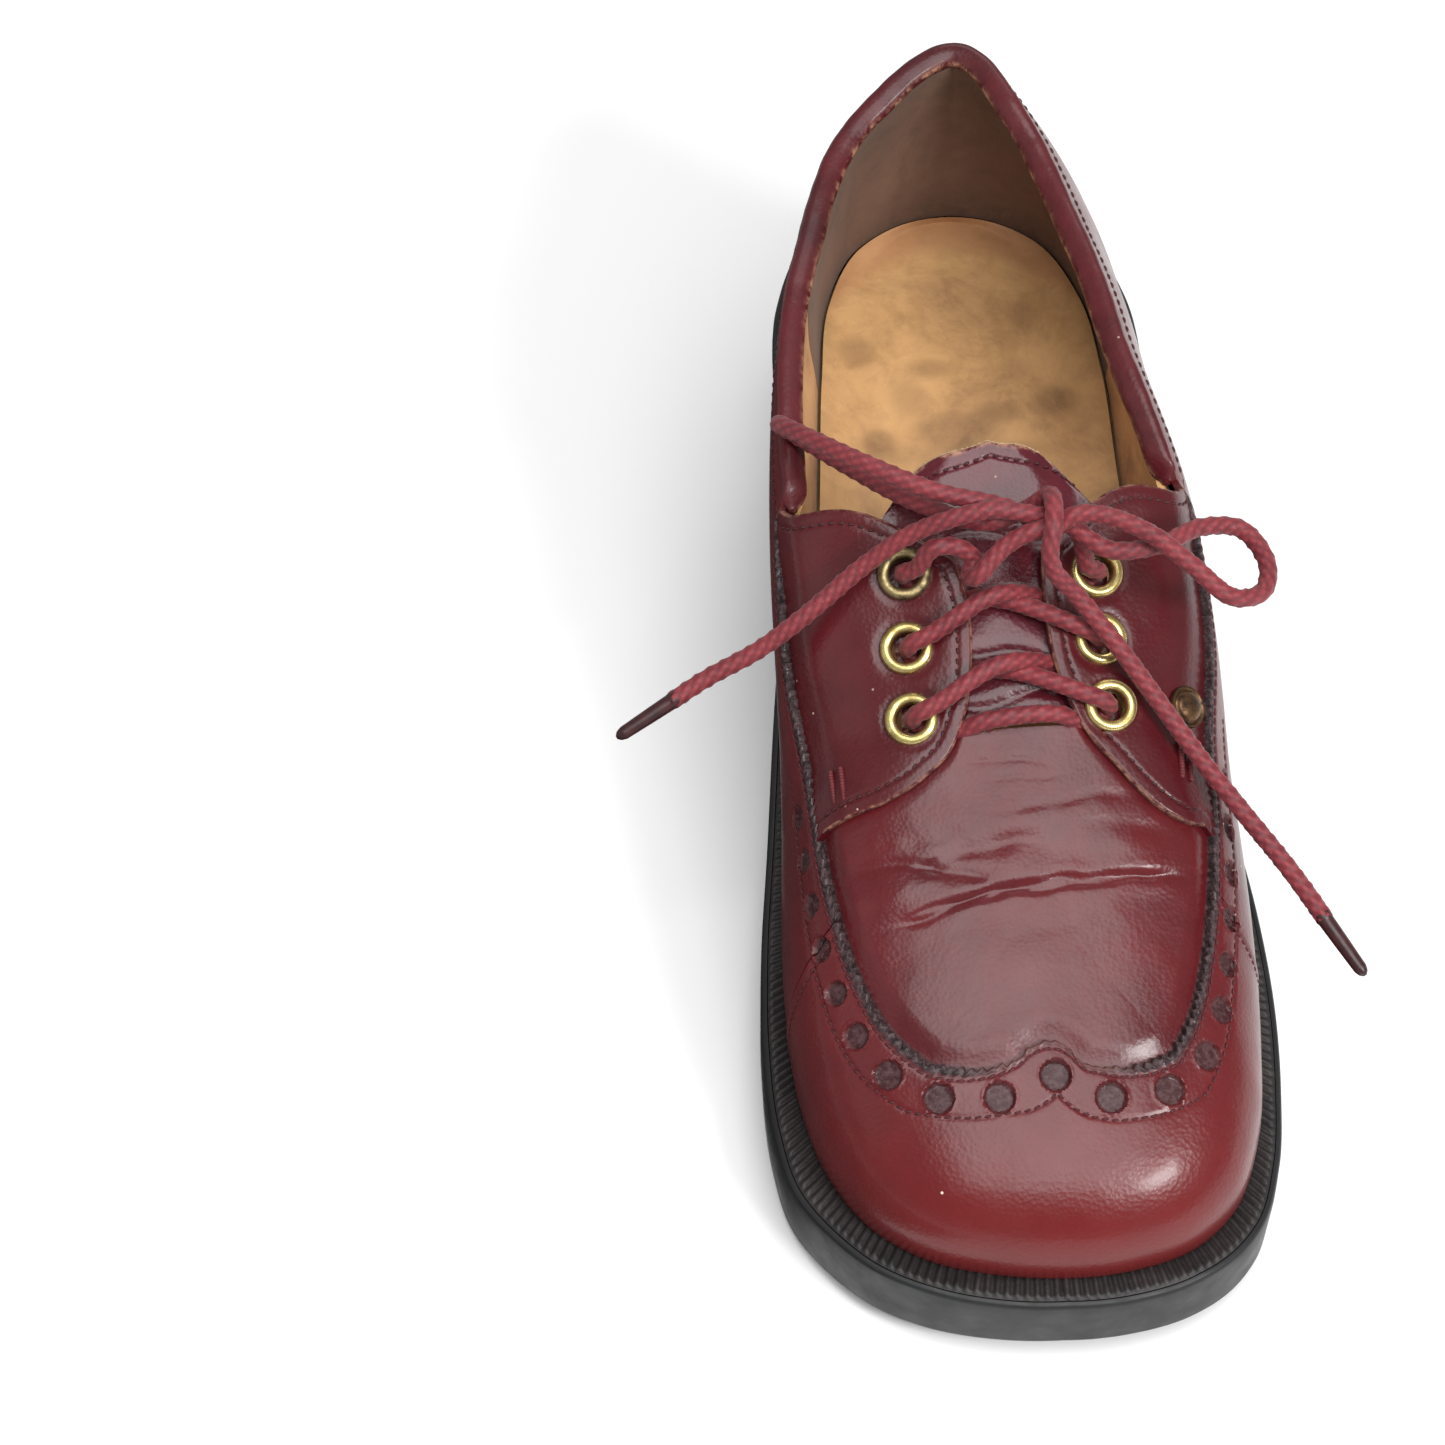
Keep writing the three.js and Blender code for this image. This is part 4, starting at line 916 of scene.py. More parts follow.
def facing_row(side, inset):
    """(u, v) of a line that keeps an inset in mm from a facing's free edge."""
    c = THROAT[side](np.linspace(0.02, 1, 400))
    top_u, top_v = facing_uv(side, np.ones(200), np.linspace(0.99, 0.1, 200))
    x, v = np.r_[c[:, 0], top_u * side], np.r_[c[:, 1], top_v]
    e = 0.002
    along_s = (skin(side * (x + e), v) - skin(side * (x - e), v)) / (2 * e)
    along_v = (skin(side * x, v + e) - skin(side * x, v - e)) / (2 * e)
    dx, dv = np.gradient(x), np.gradient(v)
    inward = np.cross(dx[:, None] * along_s + dv[:, None] * along_v, skin_normal(side * x, v))
    inward /= np.linalg.norm(inward, axis=1, keepdims=True) + 1e-12
    guess = dv[:, None] * along_s - dx[:, None] * along_v
    inward *= np.sign((inward * guess).sum(1))[:, None]
    ss, sv, vv = ((p * q).sum(1) for p, q in ((along_s, along_s), (along_s, along_v), (along_v, along_v)))
    p, q, det = (inward * along_s).sum(1), (inward * along_v).sum(1), ss * vv - sv * sv
    x2, v2 = x + inset * (vv * p - sv * q) / det, v + inset * (ss * q - sv * p) / det
    far = polyline_distance(on_skin(side * x2, v2), throat_line(side)) > inset * 0.9
    far &= v2 > seam_v(side * x2) + 0.02
    return side * x2[far], v2[far]


# Bar tacks of a facing's front end: s from, s to, v.
FACING_MARKS = {1: [(0.35, 0.378, 0.592), (0.345, 0.371, 0.626)], -1: [(0.361, 0.386, 0.543), (0.355, 0.379, 0.58)]}


def facing(side):
    """An eyelet facing with its stitches and bar tacks."""
    t = np.linspace(0, 1, 300)
    w = 1 - np.concatenate([[0, 0.002, 0.005, 0.009, 0.014, 0.02], np.linspace(0.03, 1, 150)])[::-1]
    T, W = np.meshgrid(t, w, indexing="ij")
    U, V = facing_uv(side, T, W)
    if side < 0:
        T, W, U, V = T[::-1], W[::-1], U[::-1], V[::-1]
    P = on_skin(U, V)
    edge = polyline_distance(P, throat_line(side))
    H = facing_height(U, V, edge) - rounded(edge, 0.7)
    H += groove(edge - 2.9, 0.18, 0.5)
    H += np.sin(T * 9 + W * 3) * 0.12 * step(edge, 3, 8)
    keep = np.ones((len(t) - 1, len(w) - 1), bool)
    for s, v in EYELETS[side]:
        c = on_skin(side * s, v)
        d = np.linalg.norm(P - c, axis=-1)
        keep &= (d[:-1, :-1] + d[1:, 1:]) / 2 > 3.7
        H -= 0.3 * gauss((d - 5.4) / 1.1)
    attrs = [("dirt_and_painted_shade", 0.25 * step(edge, 0.4, 0.0)), ("worn", 0.7 * step(edge, 0.55, 0.15)), ("red", U * 0 + 0.05)]
    name = NAME[side]
    o = shell("leather_facing_" + name, U, V, H, LEATHER_T, keep=keep, attributes=attrs)
    dress(o, "facing", "burgundy_leather", "facing_" + name)
    ru, rv = facing_row(side, 2.9)
    thread = stitches("facing_stitches_" + name, ru, rv, facing_height(ru, rv, 2.9) - 0.1)
    dress(thread, "thread", "burgundy_leather")
    for k, (s0, s1, v) in enumerate(FACING_MARKS[side]):
        ss = side * np.linspace(s0, s1, 40)
        vv = np.full(40, v)
        hh = facing_height(ss, vv, 9.0) + 0.2
        mark = stitches(f"bar_tack_{name}_{k + 1}", ss, vv, hh, 0.6, 1.1, 0.55, 62)
        dress(mark, "tack", "burgundy_leather")
    return o


def eyelet_place(side, i):
    """(u, v) of an eyelet and the facing's height there."""
    s, v = EYELETS[side][i]
    P = on_skin(np.array([side * s]), np.array([v]))
    edge = polyline_distance(P, throat_line(side))
    return side * s, v, float(facing_height(np.array([side * s]), np.array([v]), edge)[0])


def eyelet(side, i):
    u, v, h = eyelet_place(side, i)
    roll = [(3.0 + 1.12 * (1 - math.cos(a)), 0.1 + 0.95 * math.sin(a)) for a in np.linspace(0.15, math.pi, 11)]
    profile = [(3.05, -2.2), *roll, (5.28, 0.02), (5.1, -0.25), (3.5, -0.25), (3.45, -2.2), (3.05, -2.2)]
    pts, faces = lathe(profile)
    tilt = RNG.normal(0, 0.02)
    o = make(f"eyelet_ring_{NAME[side]}_{i + 1}", stand(pts, u, v, h + 0.05, tilt), faces, weld=1e-6)
    worn = side < 0 and i == 0
    return dress(o, "tarnish" if worn else "brass", "eyelet_brass", f"eyelet_{NAME[side]}_{i + 1}")


STUD_AT = (0.405, 0.6)


def stud():
    """A small domed metal stud with a raised rim."""
    u, v = STUD_AT
    h = float(facing_height(np.array([u]), np.array([v]), 14.0)[0])
    dome = [(0.001, 2.35)] + [(3.0 * math.sin(a), 1.2 + 1.15 * math.cos(a)) for a in np.linspace(0.2, 1.35, 8)]
    rim = [(3.1, 1.15), (3.35, 1.0), (3.7, 1.25), (4.05, 1.2), (4.25, 0.9), (4.25, 0.3), (4.05, 0.02), (0.001, 0.02)]
    pts, faces = lathe(dome + rim)
    o = make("side_stud_dome", stand(pts, u, v, h), faces, weld=2e-5)
    return dress(o, "stud", "stud_brass", "side_stud")


TONGUE_MM = 60
TONGUE_STITCH = 3.2


def tongue():
    """The tongue under the laces."""
    t = 1 - (1 - np.linspace(0, 1, 220)) ** 1.35
    T, A = np.meshgrid(t, np.linspace(-1, 1, 151), indexing="ij")
    edge = np.where(A > 0, 0.77, 0.745) + 0.08 * T + 0.6 * np.maximum(0, T - 0.9)
    V = 1 - (1 - edge) * np.abs(A)
    base = TONGUE_BASE(V) + 0.003
    end = 0.537 + 0.0085 * step(np.abs(A), 0.0, 0.65) - 0.006 * step(np.abs(A), 0.75, 1.0)
    S = base + (end - base) * T
    U = np.where(A >= 0, 1, -1) * S
    P, N = skin(U, V), skin_normal(U, V)
    inside = step(np.abs(A), 0.35, 0.8)
    H = -2.0 - 1.7 * inside + 0.5 * step(T, 0.8, 1.0)
    x, y = P[..., 0], P[..., 1]
    for k, (y0, slope, depth) in enumerate([(-27, 0.1, 0.35), (-19, -0.12, 0.4), (-9, 0.05, 0.25), (3, -0.08, 0.2)]):
        d = y - (y0 + slope * x + 0.8 * np.sin(x * 0.3 + k))
        H += depth * (0.5 * gauss((d - 2.6) / 1.8) - gauss(d))
    tip = (1 - T) * TONGUE_MM
    H -= rounded(tip, 0.7)
    H += groove(tip - TONGUE_STITCH, 0.2, 0.5)
    outer = P + N * H[..., None]
    inner = P + N * (H - 1.6)[..., None]
    points, faces = sheet_body(outer, inner)
    attrs = [("dirt_and_painted_shade", doubled(A * 0)), ("worn", doubled(step(tip, 1.3, 0.3))), ("red", doubled(A * 0))]
    o = make("tongue_leather", points, faces, None, attrs)
    dress(o, "tongue", "burgundy_leather", "tongue")
    row = T[:, 0].searchsorted(1 - TONGUE_STITCH / TONGUE_MM)
    thread = stitches("tongue_stitches", U[row], V[row], H[row] + 0.12, body=None)
    dress(thread, "thread", "burgundy_leather")
    rim_pts, rim_faces = tongue_edge(outer[-1], inner[-1], N[-1])
    rim = make("tongue_raw_edge", rim_pts, rim_faces, None, [("dirt_and_painted_shade", np.zeros(len(rim_pts)))])
    dress(rim, "raw", "tan_lining")
    for piece in (o, thread, rim):
        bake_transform(piece)
    return o


def tongue_edge(a, b, N):
    """The tongue's pale cut end: a thin fuzzy strip along its top."""
    k = len(a)
    out = unit(np.cross(np.gradient(a, axis=0), N))
    if out[k // 2][1] < 0:
        out = -out
    fuzz = RNG.normal(0, 0.09, (k, 1))
    rows = [a - N * 0.55 - out * 0.3, a - N * 0.45 + out * (0.3 + fuzz), (a + b) / 2 + out * (0.5 + fuzz),
            b + N * 0.3 + out * (0.3 + fuzz), b + N * 0.3 - out * 0.3]
    pts = np.stack(rows, 1).reshape(-1, 3)
    f = ring_quads(k, 5)[:, [0, 3, 2, 1]].tolist()
    f += [[0, 1, 2, 3, 4], [(k - 1) * 5 + q for q in (4, 3, 2, 1, 0)]]
    return pts, f


def round_heel(start, spacing):
    s = even_u(start, 1.0, spacing, 0.55)
    return np.concatenate([s, -s[::-1][1:]])


def topline_binding():
    """Rolled leather binding of the opening, rubbed pale along its inner side."""
    u = round_heel(0.578, 0.5)
    tv = both(TOPLINE, u) - 0.02 * step(np.abs(u), 0.592, 0.578)
    centre = on_skin(u, tv, np.full(len(u), -2.0))
    up = unit(on_skin(u, tv + 0.02, -2.0) - centre)
    out = skin_normal(u, tv)
    bell = np.hanning(29) / np.hanning(29).sum()
    blend = step(np.abs(u), 0.93, 0.97)[:, None]

    def softened(q):
        soft = np.stack([np.convolve(np.pad(q[:, i], 14, "edge"), bell, "valid") for i in range(3)], -1)
        return q + (soft - q) * blend

    centre, up, out = softened(centre), softened(up), softened(out)
    sides = 22
    a = np.arange(sides) / sides * 2 * math.pi
    mm = arc(centre)
    ends = np.minimum(mm, mm[-1] - mm)
    swell = (1 + 0.02 * np.sin(mm * 0.35) + 0.012 * np.sin(mm * 1.1)) * np.sqrt(0.12 + 0.88 * step(ends, 0, 3.2))
    c, s = np.cos(a), np.sin(a)
    wide = 2.75 * np.sign(c) * np.abs(c) ** 0.85
    tall = 1.9 * np.sign(s) * np.abs(s) ** 0.9
    P = (centre[:, None] + out[:, None] * (wide[None] * swell[:, None])[..., None]
         + up[:, None] * (1.35 + tall[None] * swell[:, None])[..., None])
    k = len(u)
    f = ring_quads(k, sides)[:, [0, 3, 2, 1]].tolist()
    f += [list(range(sides)), [(k - 1) * sides + q for q in range(sides)][::-1]]
    rub = np.interp(mm, np.linspace(0, mm[-1], 90), RNG.uniform(0.3, 1.6, 90))
    worn = np.clip(rub[:, None] * gauss((a - 2.75) / 0.36)[None], 0, 1)
    # The roll's inner, lower face is darkened as painted shade, where it turns down into the shoe; the pale band above
    # it is rubbed wear.
    attrs = [("worn", worn), ("dirt_and_painted_shade", 0.25 * gauss((a - 3.6) / 0.6)[None] * np.ones((k, 1))), ("red", worn * 0)]
    o = make("topline_binding_roll", P.reshape(-1, 3), f, attributes=attrs)
    return dress(o, "trim", "burgundy_leather", "topline_binding")


def lining(name, u, low, high, mat, slot, node, height=-3.3, thick=1.0, rows=40, folds=0.0):
    """An inner sheet from a low v up to the line high(u), a height in mm from the skin."""
    w = np.linspace(0, 1, rows)
    V = low + (high(u) - low)[:, None] * w
    U = np.repeat(u[:, None], rows, 1)
    ripple = folds * (np.sin(U * 37 + V * 11) * np.sin(V * 23 + U * 9))
    # Darker low on each sheet, down to where it meets the sock: painted shade in the bottom corner of the shoe.
    dirt_and_painted_shade = 0.75 * step(w, 0.28, 0.0)[None] * np.ones_like(U)
    H = height + ripple - 0.12 * step((high(u)[:, None] - V) * 60, 1, 0)
    o = shell(name, U, V, H, thick, attributes=[("dirt_and_painted_shade", dirt_and_painted_shade)])
    return dress(o, mat, slot, node)


def linings():
    for side, name in NAME.items():
        s = np.abs(even_u(0.392, 0.77, 1.2))
        u = side * s if side > 0 else (side * s)[::-1]
        back = COLLAR[side]
        high = lambda x: np.where(np.abs(x) < back, seam_v(x) - 0.02, both(TOPLINE, x) - 0.004)
        lining("quarter_lining_skin_" + name, u, 0.014, high, "lining", "tan_lining", "quarter_lining_" + name,
               folds=0.12)
    lining("heel_counter_board", round_heel(0.75, 2.0), 0.02, lambda x: 0.38 + 0 * x, "stiffener", "stiffener",
           "heel_counter", height=-1.75, thick=0.7, rows=12)
    lining("heel_grip_skin", round_heel(0.765, 1.2), 0.014, lambda x: both(TOPLINE, x) - 0.002, "grip", "grip_lining",
           "heel_grip_lining", height=-3.25, thick=1.1, folds=0.08)


def outline(curves, inset, s):
    """One side pair of a bottom outline moved inwards: (medial, lateral) rows of x, y."""
    e = 0.003
    out = []
    for side in (1, -1):
        p = curves[side](s)
        a, b = curves[side](np.clip(s - e, 0, 1)), curves[side](np.clip(s + e, 0, 1))
        d = b - a
        d[s < e] = (side, 0)
        d[s > 1 - e] = (-side, 0)
        d = unit(d)
        ins = np.broadcast_to(np.asarray(inset, float), s.shape)
        out.append(p + np.stack([-side * d[:, 1], side * d[:, 0]], -1) * ins[:, None])
    return out


def loop_of(pair):
    """Closed loop of the outline: toe, medial side, heel, lateral side."""
    return np.concatenate([pair[0], pair[1][1:-1][::-1]])


def even_outline(curves, spacing):
    s = np.linspace(0, 1, 4000)
    d = arc(curves[1](s))
    return np.interp(np.linspace(0, d[-1], int(d[-1] / spacing) + 1), d, s)


def ring_faces(k, rows, closed_rows=True):
    """Quads of a ring grid: rows profile points round k columns."""
    i, j = np.meshgrid(np.arange(k), np.arange(rows if closed_rows else rows - 1), indexing="ij")
    i2, j2 = (i + 1) % k, (j + 1) % rows
    return np.stack([i * rows + j, i2 * rows + j, i2 * rows + j2, i * rows + j2], -1).reshape(-1, 4)


TREAD = Curve([(-132, 6.6), (-118, 3.6), (-104, 1.4), (-92, 0), (-84, 0), (-70, 0), (-56, 0), (-48, 0), (-38, 1.2),
               (-25, 5), (0, 18), (25, 31), (50, 40.5), (75, 45.5), (100, 47), (130, 47.5)])


def tread(y):
    return np.maximum(TREAD(y), 0)


RIB_PITCH = 1.95


def welt():
    """Ribbed welt round the upper: radial ribs on its top."""
    s = even_outline(feather_xy, 0.3)
    outer = loop_of(outline(sole_xy, 1.5, s))
    inner = loop_of(outline(feather_xy, 2.6, s))
    mm = arc(np.r_[outer, outer[:1]])
    count = round(mm[-1] / RIB_PITCH)
    phase = mm[:-1] / mm[-1] * count * 2 * math.pi
    rib = np.abs(np.cos(phase / 2)) ** 1.6
    w = np.concatenate([[0, 0.03, 0.08], np.linspace(0.14, 1, 14)])
    rows = []
    for x in w:
        xy = outer + (inner - outer) * x
        top = feather_z(xy[:, 1]) - 0.25 - 0.5 * step(x, 0.1, 0.0)
        rows.append(np.c_[xy, top + 0.55 * (rib - 0.6) * step(x, 0.0, 0.16)])
    under = [np.c_[xy, feather_z(xy[:, 1]) - 3.1] for xy in (inner, outer)]
    grid = np.stack(rows + under, 1)
    faces = ring_faces(len(outer), grid.shape[1])[:, ::-1]
    worn = np.zeros(grid.shape[:2])
    worn[:, :len(w)] = np.clip(rib[:, None] * 1.2 - 0.5, 0, 1) * 0.4
    o = make("welt_ribbed", grid.reshape(-1, 3), faces, attributes=[("worn", worn)], angle=60)
    return dress(o, "welt", "black_welt", "welt_strip")


def outsole():
    """Outsole with a rounded lip that rises round the welt."""
    s = even_outline(sole_xy, 0.9)
    rows = []

    def ring(inset, z):
        xy = loop_of(outline(sole_xy, inset, s))
        rows.append(np.c_[xy, z(xy[:, 1])])

    lip = lambda d: (lambda y: feather_z(y) - d)
    foot = lambda d: (lambda y: tread(y) + d)
    ring(1.6, lip(3.4))
    ring(1.45, lip(1.3))
    for a in np.linspace(0, math.pi / 2, 5):
        ring(1.3 - 1.25 * math.sin(a) * 0.95, lip(0.95 + 1.25 * (1 - math.cos(a)) - 0.1))
    ring(0.0, lip(4.5))
    for q in (0.35, 0.65):
        xy = loop_of(outline(sole_xy, 0.0, s))
        top, low = feather_z(xy[:, 1]) - 4.5, tread(xy[:, 1]) + 1.8
        rows.append(np.c_[xy, top + (low - top) * q])
    ring(0.0, foot(1.8))
    for a in np.linspace(0.35, math.pi / 2, 4):
        ring(1.5 * (1 - math.cos(a)), foot(1.8 - 1.8 * math.sin(a)))
    grid = np.stack(rows, 1)
    n = len(s)
    faces = ring_faces(grid.shape[0], grid.shape[1], False)
    parts = [(grid, faces)]
    for inset, z, flip in ((1.5, foot(0.0), False), (1.6, lip(3.4), True)):
        med, lat = outline(sole_xy, inset, s)
        w = np.linspace(0, 1, 60)
        xy = lat[:, None] + (med - lat)[:, None] * w[None, :, None]
        zz = z(xy[..., 1])
        if not flip:
            zone = step(xy[..., 1], -108, -100) * step(xy[..., 1], -30, -40)
            zone = zone * step(np.abs(w - 0.5), 0.43, 0.38)[None]
            zz = zz + 0.45 * zone * (np.abs((xy[..., 1] / 3.2) % 1 - 0.5) < 0.22)
        cap = np.concatenate([xy, zz[..., None]], -1)
        parts.append((cap, grid_faces(n, 60, 0, flip=not flip)))
    pts, fs = merged(parts)
    o = make("outsole_rubber", pts, fs, weld=2e-5, angle=35)
    return dress(o, "sole", "black_sole", "outsole")


HEEL_MIDDLE = np.array([0, 92.0])


def heel_ring(scale, z):
    """Heel outline from above, shrunk towards its own middle, with a hollow breast and rounded front corners."""
    s = np.linspace(0.715, 1, 46)
    med, lat = outline(sole_xy, 0.6, s)
    width, y0 = med[0]
    k = np.linspace(-1, 1, 19)[1:-1]
    front = np.c_[k * width, y0 + 5 * (1 - np.abs(k) ** 2.2)]
    front[:, 0] = np.where(front[:, 0] < 0, front[:, 0] * abs(lat[0][0] / width), front[:, 0])
    ring = np.concatenate([med, lat[:-1][::-1], front])
    xy = HEEL_MIDDLE + (ring - HEEL_MIDDLE) * scale
    return np.c_[xy, z(ring[:, 1]) if callable(z) else np.full(len(xy), z)]


def capped_stack(rings):
    """Rings of points joined into a closed body with fan caps."""
    k = len(rings[0])
    pts = np.concatenate(rings)
    faces = ring_quads(len(rings), k).tolist()
    ends = [rings[0].mean(0), rings[-1].mean(0)]
    base = len(pts)
    for i in range(k):
        j = (i + 1) % k
        faces += [[j, i, base], [base - k + i, base - k + j, base + 1]]
    return np.concatenate([pts, ends]), faces


def heel():
    shape = Curve([(6.35, 0.9), (16, 0.905), (28, 0.925), (38, 0.96), (47.5, 1.0)])
    rings = [heel_ring(0.888, 6.2), heel_ring(0.9, 6.9)]
    for f in np.linspace(0.03, 0.97, 26):
        top = lambda y, f=f: 6.9 + (tread(y) - 7.2) * f
        rings.append(heel_ring(float(shape(6.9 + f * 40)), top))
    rings.append(heel_ring(0.997, lambda y: tread(y) - 0.15))
    pts, faces = capped_stack(rings)
    dress(make("heel_block_body", pts, faces, angle=50), "heel", "black_heel", "heel_block")
    pts, faces = capped_stack([heel_ring(scale, z) for scale, z in ((0.878, 0.0), (0.888, 0.25), (0.893, 0.9),
                                                                    (0.897, 5.6), (0.892, 6.05))])
    dress(make("heel_top_piece_rubber", pts, faces, angle=50), "top_piece", "black_top_piece", "heel_top_piece")


# Dark wear on the sock: x, y, half width, half length in mm, and how dark.
FOOT_MARKS = [(-2, 61, 9, 4.5, 0.9), (8, 65, 5, 2.5, 0.6), (20, 67, 5, 4, 0.8), (-22, 82, 4, 4, 0.6),
              (-7, 77, 5, 2.5, 0.5),
              (-19, 58, 4, 4, 0.7), (15, 90, 3.5, 4, 0.45), (4, 55, 16, 3, 0.5), (-12, 70, 4, 5, 0.35),
              (12, 76, 4, 3, 0.3)]


def sock():
    """Sock lining pressed by the foot: hollow under the heel."""
    s = np.unique(np.concatenate([np.linspace(0, 1, 260), [0.02]]))
    med, lat = outline(feather_xy, 4.75, s)
    w = np.linspace(0, 1, 44)
    xy = lat[:, None] + (med - lat)[:, None] * w[None, :, None]
    x, y = xy[..., 0], xy[..., 1]
    top = feather_z(y) + 1.0
    top = top - 0.9 * np.exp(-((x / 17) ** 2 + ((y - 92) / 21) ** 2))
    top += 1.5 * step(np.abs(w - 0.5), 0.38, 0.5)[None] * step(s, 0.4, 0.6)[:, None]
    under = feather_z(y) - 0.2
    up = np.concatenate([xy, top[..., None]], -1)
    down = np.concatenate([xy, under[..., None]], -1)
    points, faces = sheet_body(up, down, upside_down=True)
    rub = 0.0 * x
    for x0, y0, wide, long, dark in FOOT_MARKS:
        rub = rub + dark * np.exp(-(((x - x0) / wide) ** 2 + ((y - y0) / long) ** 2) ** 2)
    rub = np.clip(rub, 0, 0.9)
    heel_end = 0.6 * step(y + 0.022 * x * x, 107, 113)
    o = make("sock_lining_skin", points, faces, attributes=[("dirt_and_painted_shade", doubled(rub)), ("red", doubled(heel_end))])
    return dress(o, "sock", "tan_sock", "sock_lining")


def stitch_rows():
    """Machine stitching of the upper: the apron seam, the punched band, the topline and the side seams."""
    for side, name in NAME.items():
        def row(title, u, v, height, *sizes, mat="dark_thread"):
            dress(stitches(f"{title}_{name}", u, v, height, *sizes), mat, "burgundy_leather")

        u = side * np.abs(even_u(0.0 if side > 0 else 0.001, 0.565, 1.0))
        v = seam_v(u) - (1.3 + 1.0 * step(np.abs(u), 0.04, 0.12)) / mm_per_v(u, 0.55)
        row("seam_stitches", u, v, 0.42, 2.0, 1.95, 0.27, 10)
        u = side * np.abs(even_u(0.0, 0.44, 1.0))
        row("band_stitches", u, both(BAND_ROW, u), 0.16, 1.9, 1.6, 0.23, 10)
        u = side * np.abs(even_u(0.59, 0.998, 1.0))
        top = both(TOPLINE, u)
        row("topline_stitches", u, top - 4.2 / mm_per_v(u, top - 0.1), 0.25, 2.2, 1.6, 0.25, mat="thread")
        v = np.linspace(0.02, float(seam_v(side * 0.28)) - 0.05, 160)
        u = np.full(160, side * (SIDE_SEAM - 0.009))
        thread = stitches(f"side_seam_stitches_{name}_1", u, v, 0.3, 1.9, 1.6, 0.22, 10)
        dress(thread, "dark_thread", "burgundy_leather")


# ---------------------------------------------------------------- lace
# Lace routes are x, y, z in mm.
LACE_D = 3.7
BAR_Y = -34.2
LOOP_MEDIAL = [(12.5, -4.5, 104.5), (17, -5, 105), (26.5, -9.5, 104), (33.5, -14.5, 101), (42, -19.5, 96),
               (48, -17, 94),
               (50, -9.5, 93.5), (46, -2, 94.5), (37.5, -3, 97), (29, -8, 98.5), (19, -9, 99)]
LOOP_LATERAL = [(-1, 0.8, 101.5), (-13, 3.2, 103.6), (-26, 9.5, 105), (-37, 19.5, 102), (-42.5, 27.5, 97),
                (-40.5, 29.2, 93),
                (-29, 19, 93), (-16, 6.5, 96), (-4, 0, 97.6), (4.2, 1.4, 99.6), (8.0, 1.6, 103.2), (8.4, -2.6, 106.2),
                (8.0, -7.6, 105.6), (7.2, -11.2, 101.6)]
END_LATERAL = [(3.5, -2.8, 103.4), (-3, -2.0, 104), (-10.5, -2.2, 102.2), (-19, -2.3, 97.5), (-26.5, -3.5, 91.5),
               (-40.5, -10, 82), (-48.5, -13, 77), (-59.5, -16.5, 72.5), (-66, -19.5, 70)]
END_MEDIAL = [(8.2, -12.4, 97.4), (12.5, -14, 92), (21, -22.5, 84.5), (28.5, -30, 76.5), (36, -38.5, 69.5),
              (43, -48, 65.5),
              (51.5, -59, 60.5), (57.5, -68.5, 57)]


def lace_tube(name, points, replaced, pieces=()):
    """A stretch of the round braided lace."""
    path = spline(points, 0.3)
    d = arc(path)
    sides = 32
    a = np.arange(sides) / sides * 2 * math.pi
    k = 2 * math.pi / 2.9
    one, two = np.cos(5 * a[None] + k * d[:, None]), np.cos(5 * a[None] - k * d[:, None])
    h = 0.5 + 0.5 * (0.72 * one + 0.28 * two + 0.3 * one * two) / 1.3
    fuzz = RNG.normal(0, 0.025, h.shape)
    pts, faces = tube(path, LACE_D / 2 - 0.12, sides, bumps=0.3 * (h - 0.45) + fuzz)
    # The strand pattern is also stored to paint the cord: painted shade in the gaps, painted highlight on the strand
    # tops.
    o = make(name, pts, faces, attributes=[("strand_shade_and_highlight", h)], angle=80)
    dress(o, "lace", "lace_cord", *replaced)


def aglet(side, end):
    """Waxed, tapering lace tip that goes on from the last points of a lace end."""
    at = np.array(end[-1], float)
    t = unit(at - end[-2])
    steps = [-1.2, 0.0, 0.35, 6, 11.5, 12.6, 13.2]
    radius = [1.72, 1.78, 1.62, 1.5, 1.35, 1.0, 0.35]
    fine = np.linspace(steps[0], steps[-1], 60)
    pts, faces = tube(at + fine[:, None] * t, np.interp(fine, steps, radius), 20)
    return dress(make("aglet_tip_" + NAME[side], pts, faces, angle=60), "aglet", "aglet_wax", "aglet_" + NAME[side])


def hole(side, i, h):
    """The middle of an eyelet, h mm over the facing."""
    u, v, base = eyelet_place(side, i)
    return on_skin(np.array(u), np.array(v), np.array(base + h))


def over_gap(side, i, j, rise):
    """Up out of eyelet i of one side, over the gap, and under the other side's edge to its eyelet j."""
    a, b = hole(side, i, 0), hole(-side, j, 0)
    gap = np.linalg.norm(b - a)
    way = (b - a) / gap
    along = np.linspace(0.3, 1, 140)
    near = polyline_distance(a + (b - a) * along[:, None], throat_line(-side))
    edge = gap * (1 - along[near.argmin()])
    p = [hole(side, i, -3.2), hole(side, i, -0.6) + way * 0.2, hole(side, i, 2.1) + way * 1.8,
         hole(side, i, 3.3) + way * 5.4, a + way * gap * 0.46 + [0, 0, 2.4 + rise],
         b - way * (edge + 3.4) + [0, 0, 0.6 + rise * 0.35], b - way * (edge - 1.8) + [0, 0, -2.9],
         b - way * 3.0 + [0, 0, -4.3]]
    return [tuple(x) for x in p]


def bar():
    """The lowest, straight lace: out from under one facing's edge and in under the other's."""
    points = []
    for side in (-1, 1):
        line = throat_line(side)[:600]
        e = line[np.linalg.norm(line - [side * 9.5, BAR_Y, 78], axis=1).argmin()]
        ends = [tuple(e + [side * 3.4, 0.6, -3.0]), tuple(e + [-side * 0.6, 0, -0.6]), tuple(e + [-side * 3.4, 0, 1.4])]
        points += ends if side < 0 else ends[::-1]
    return points


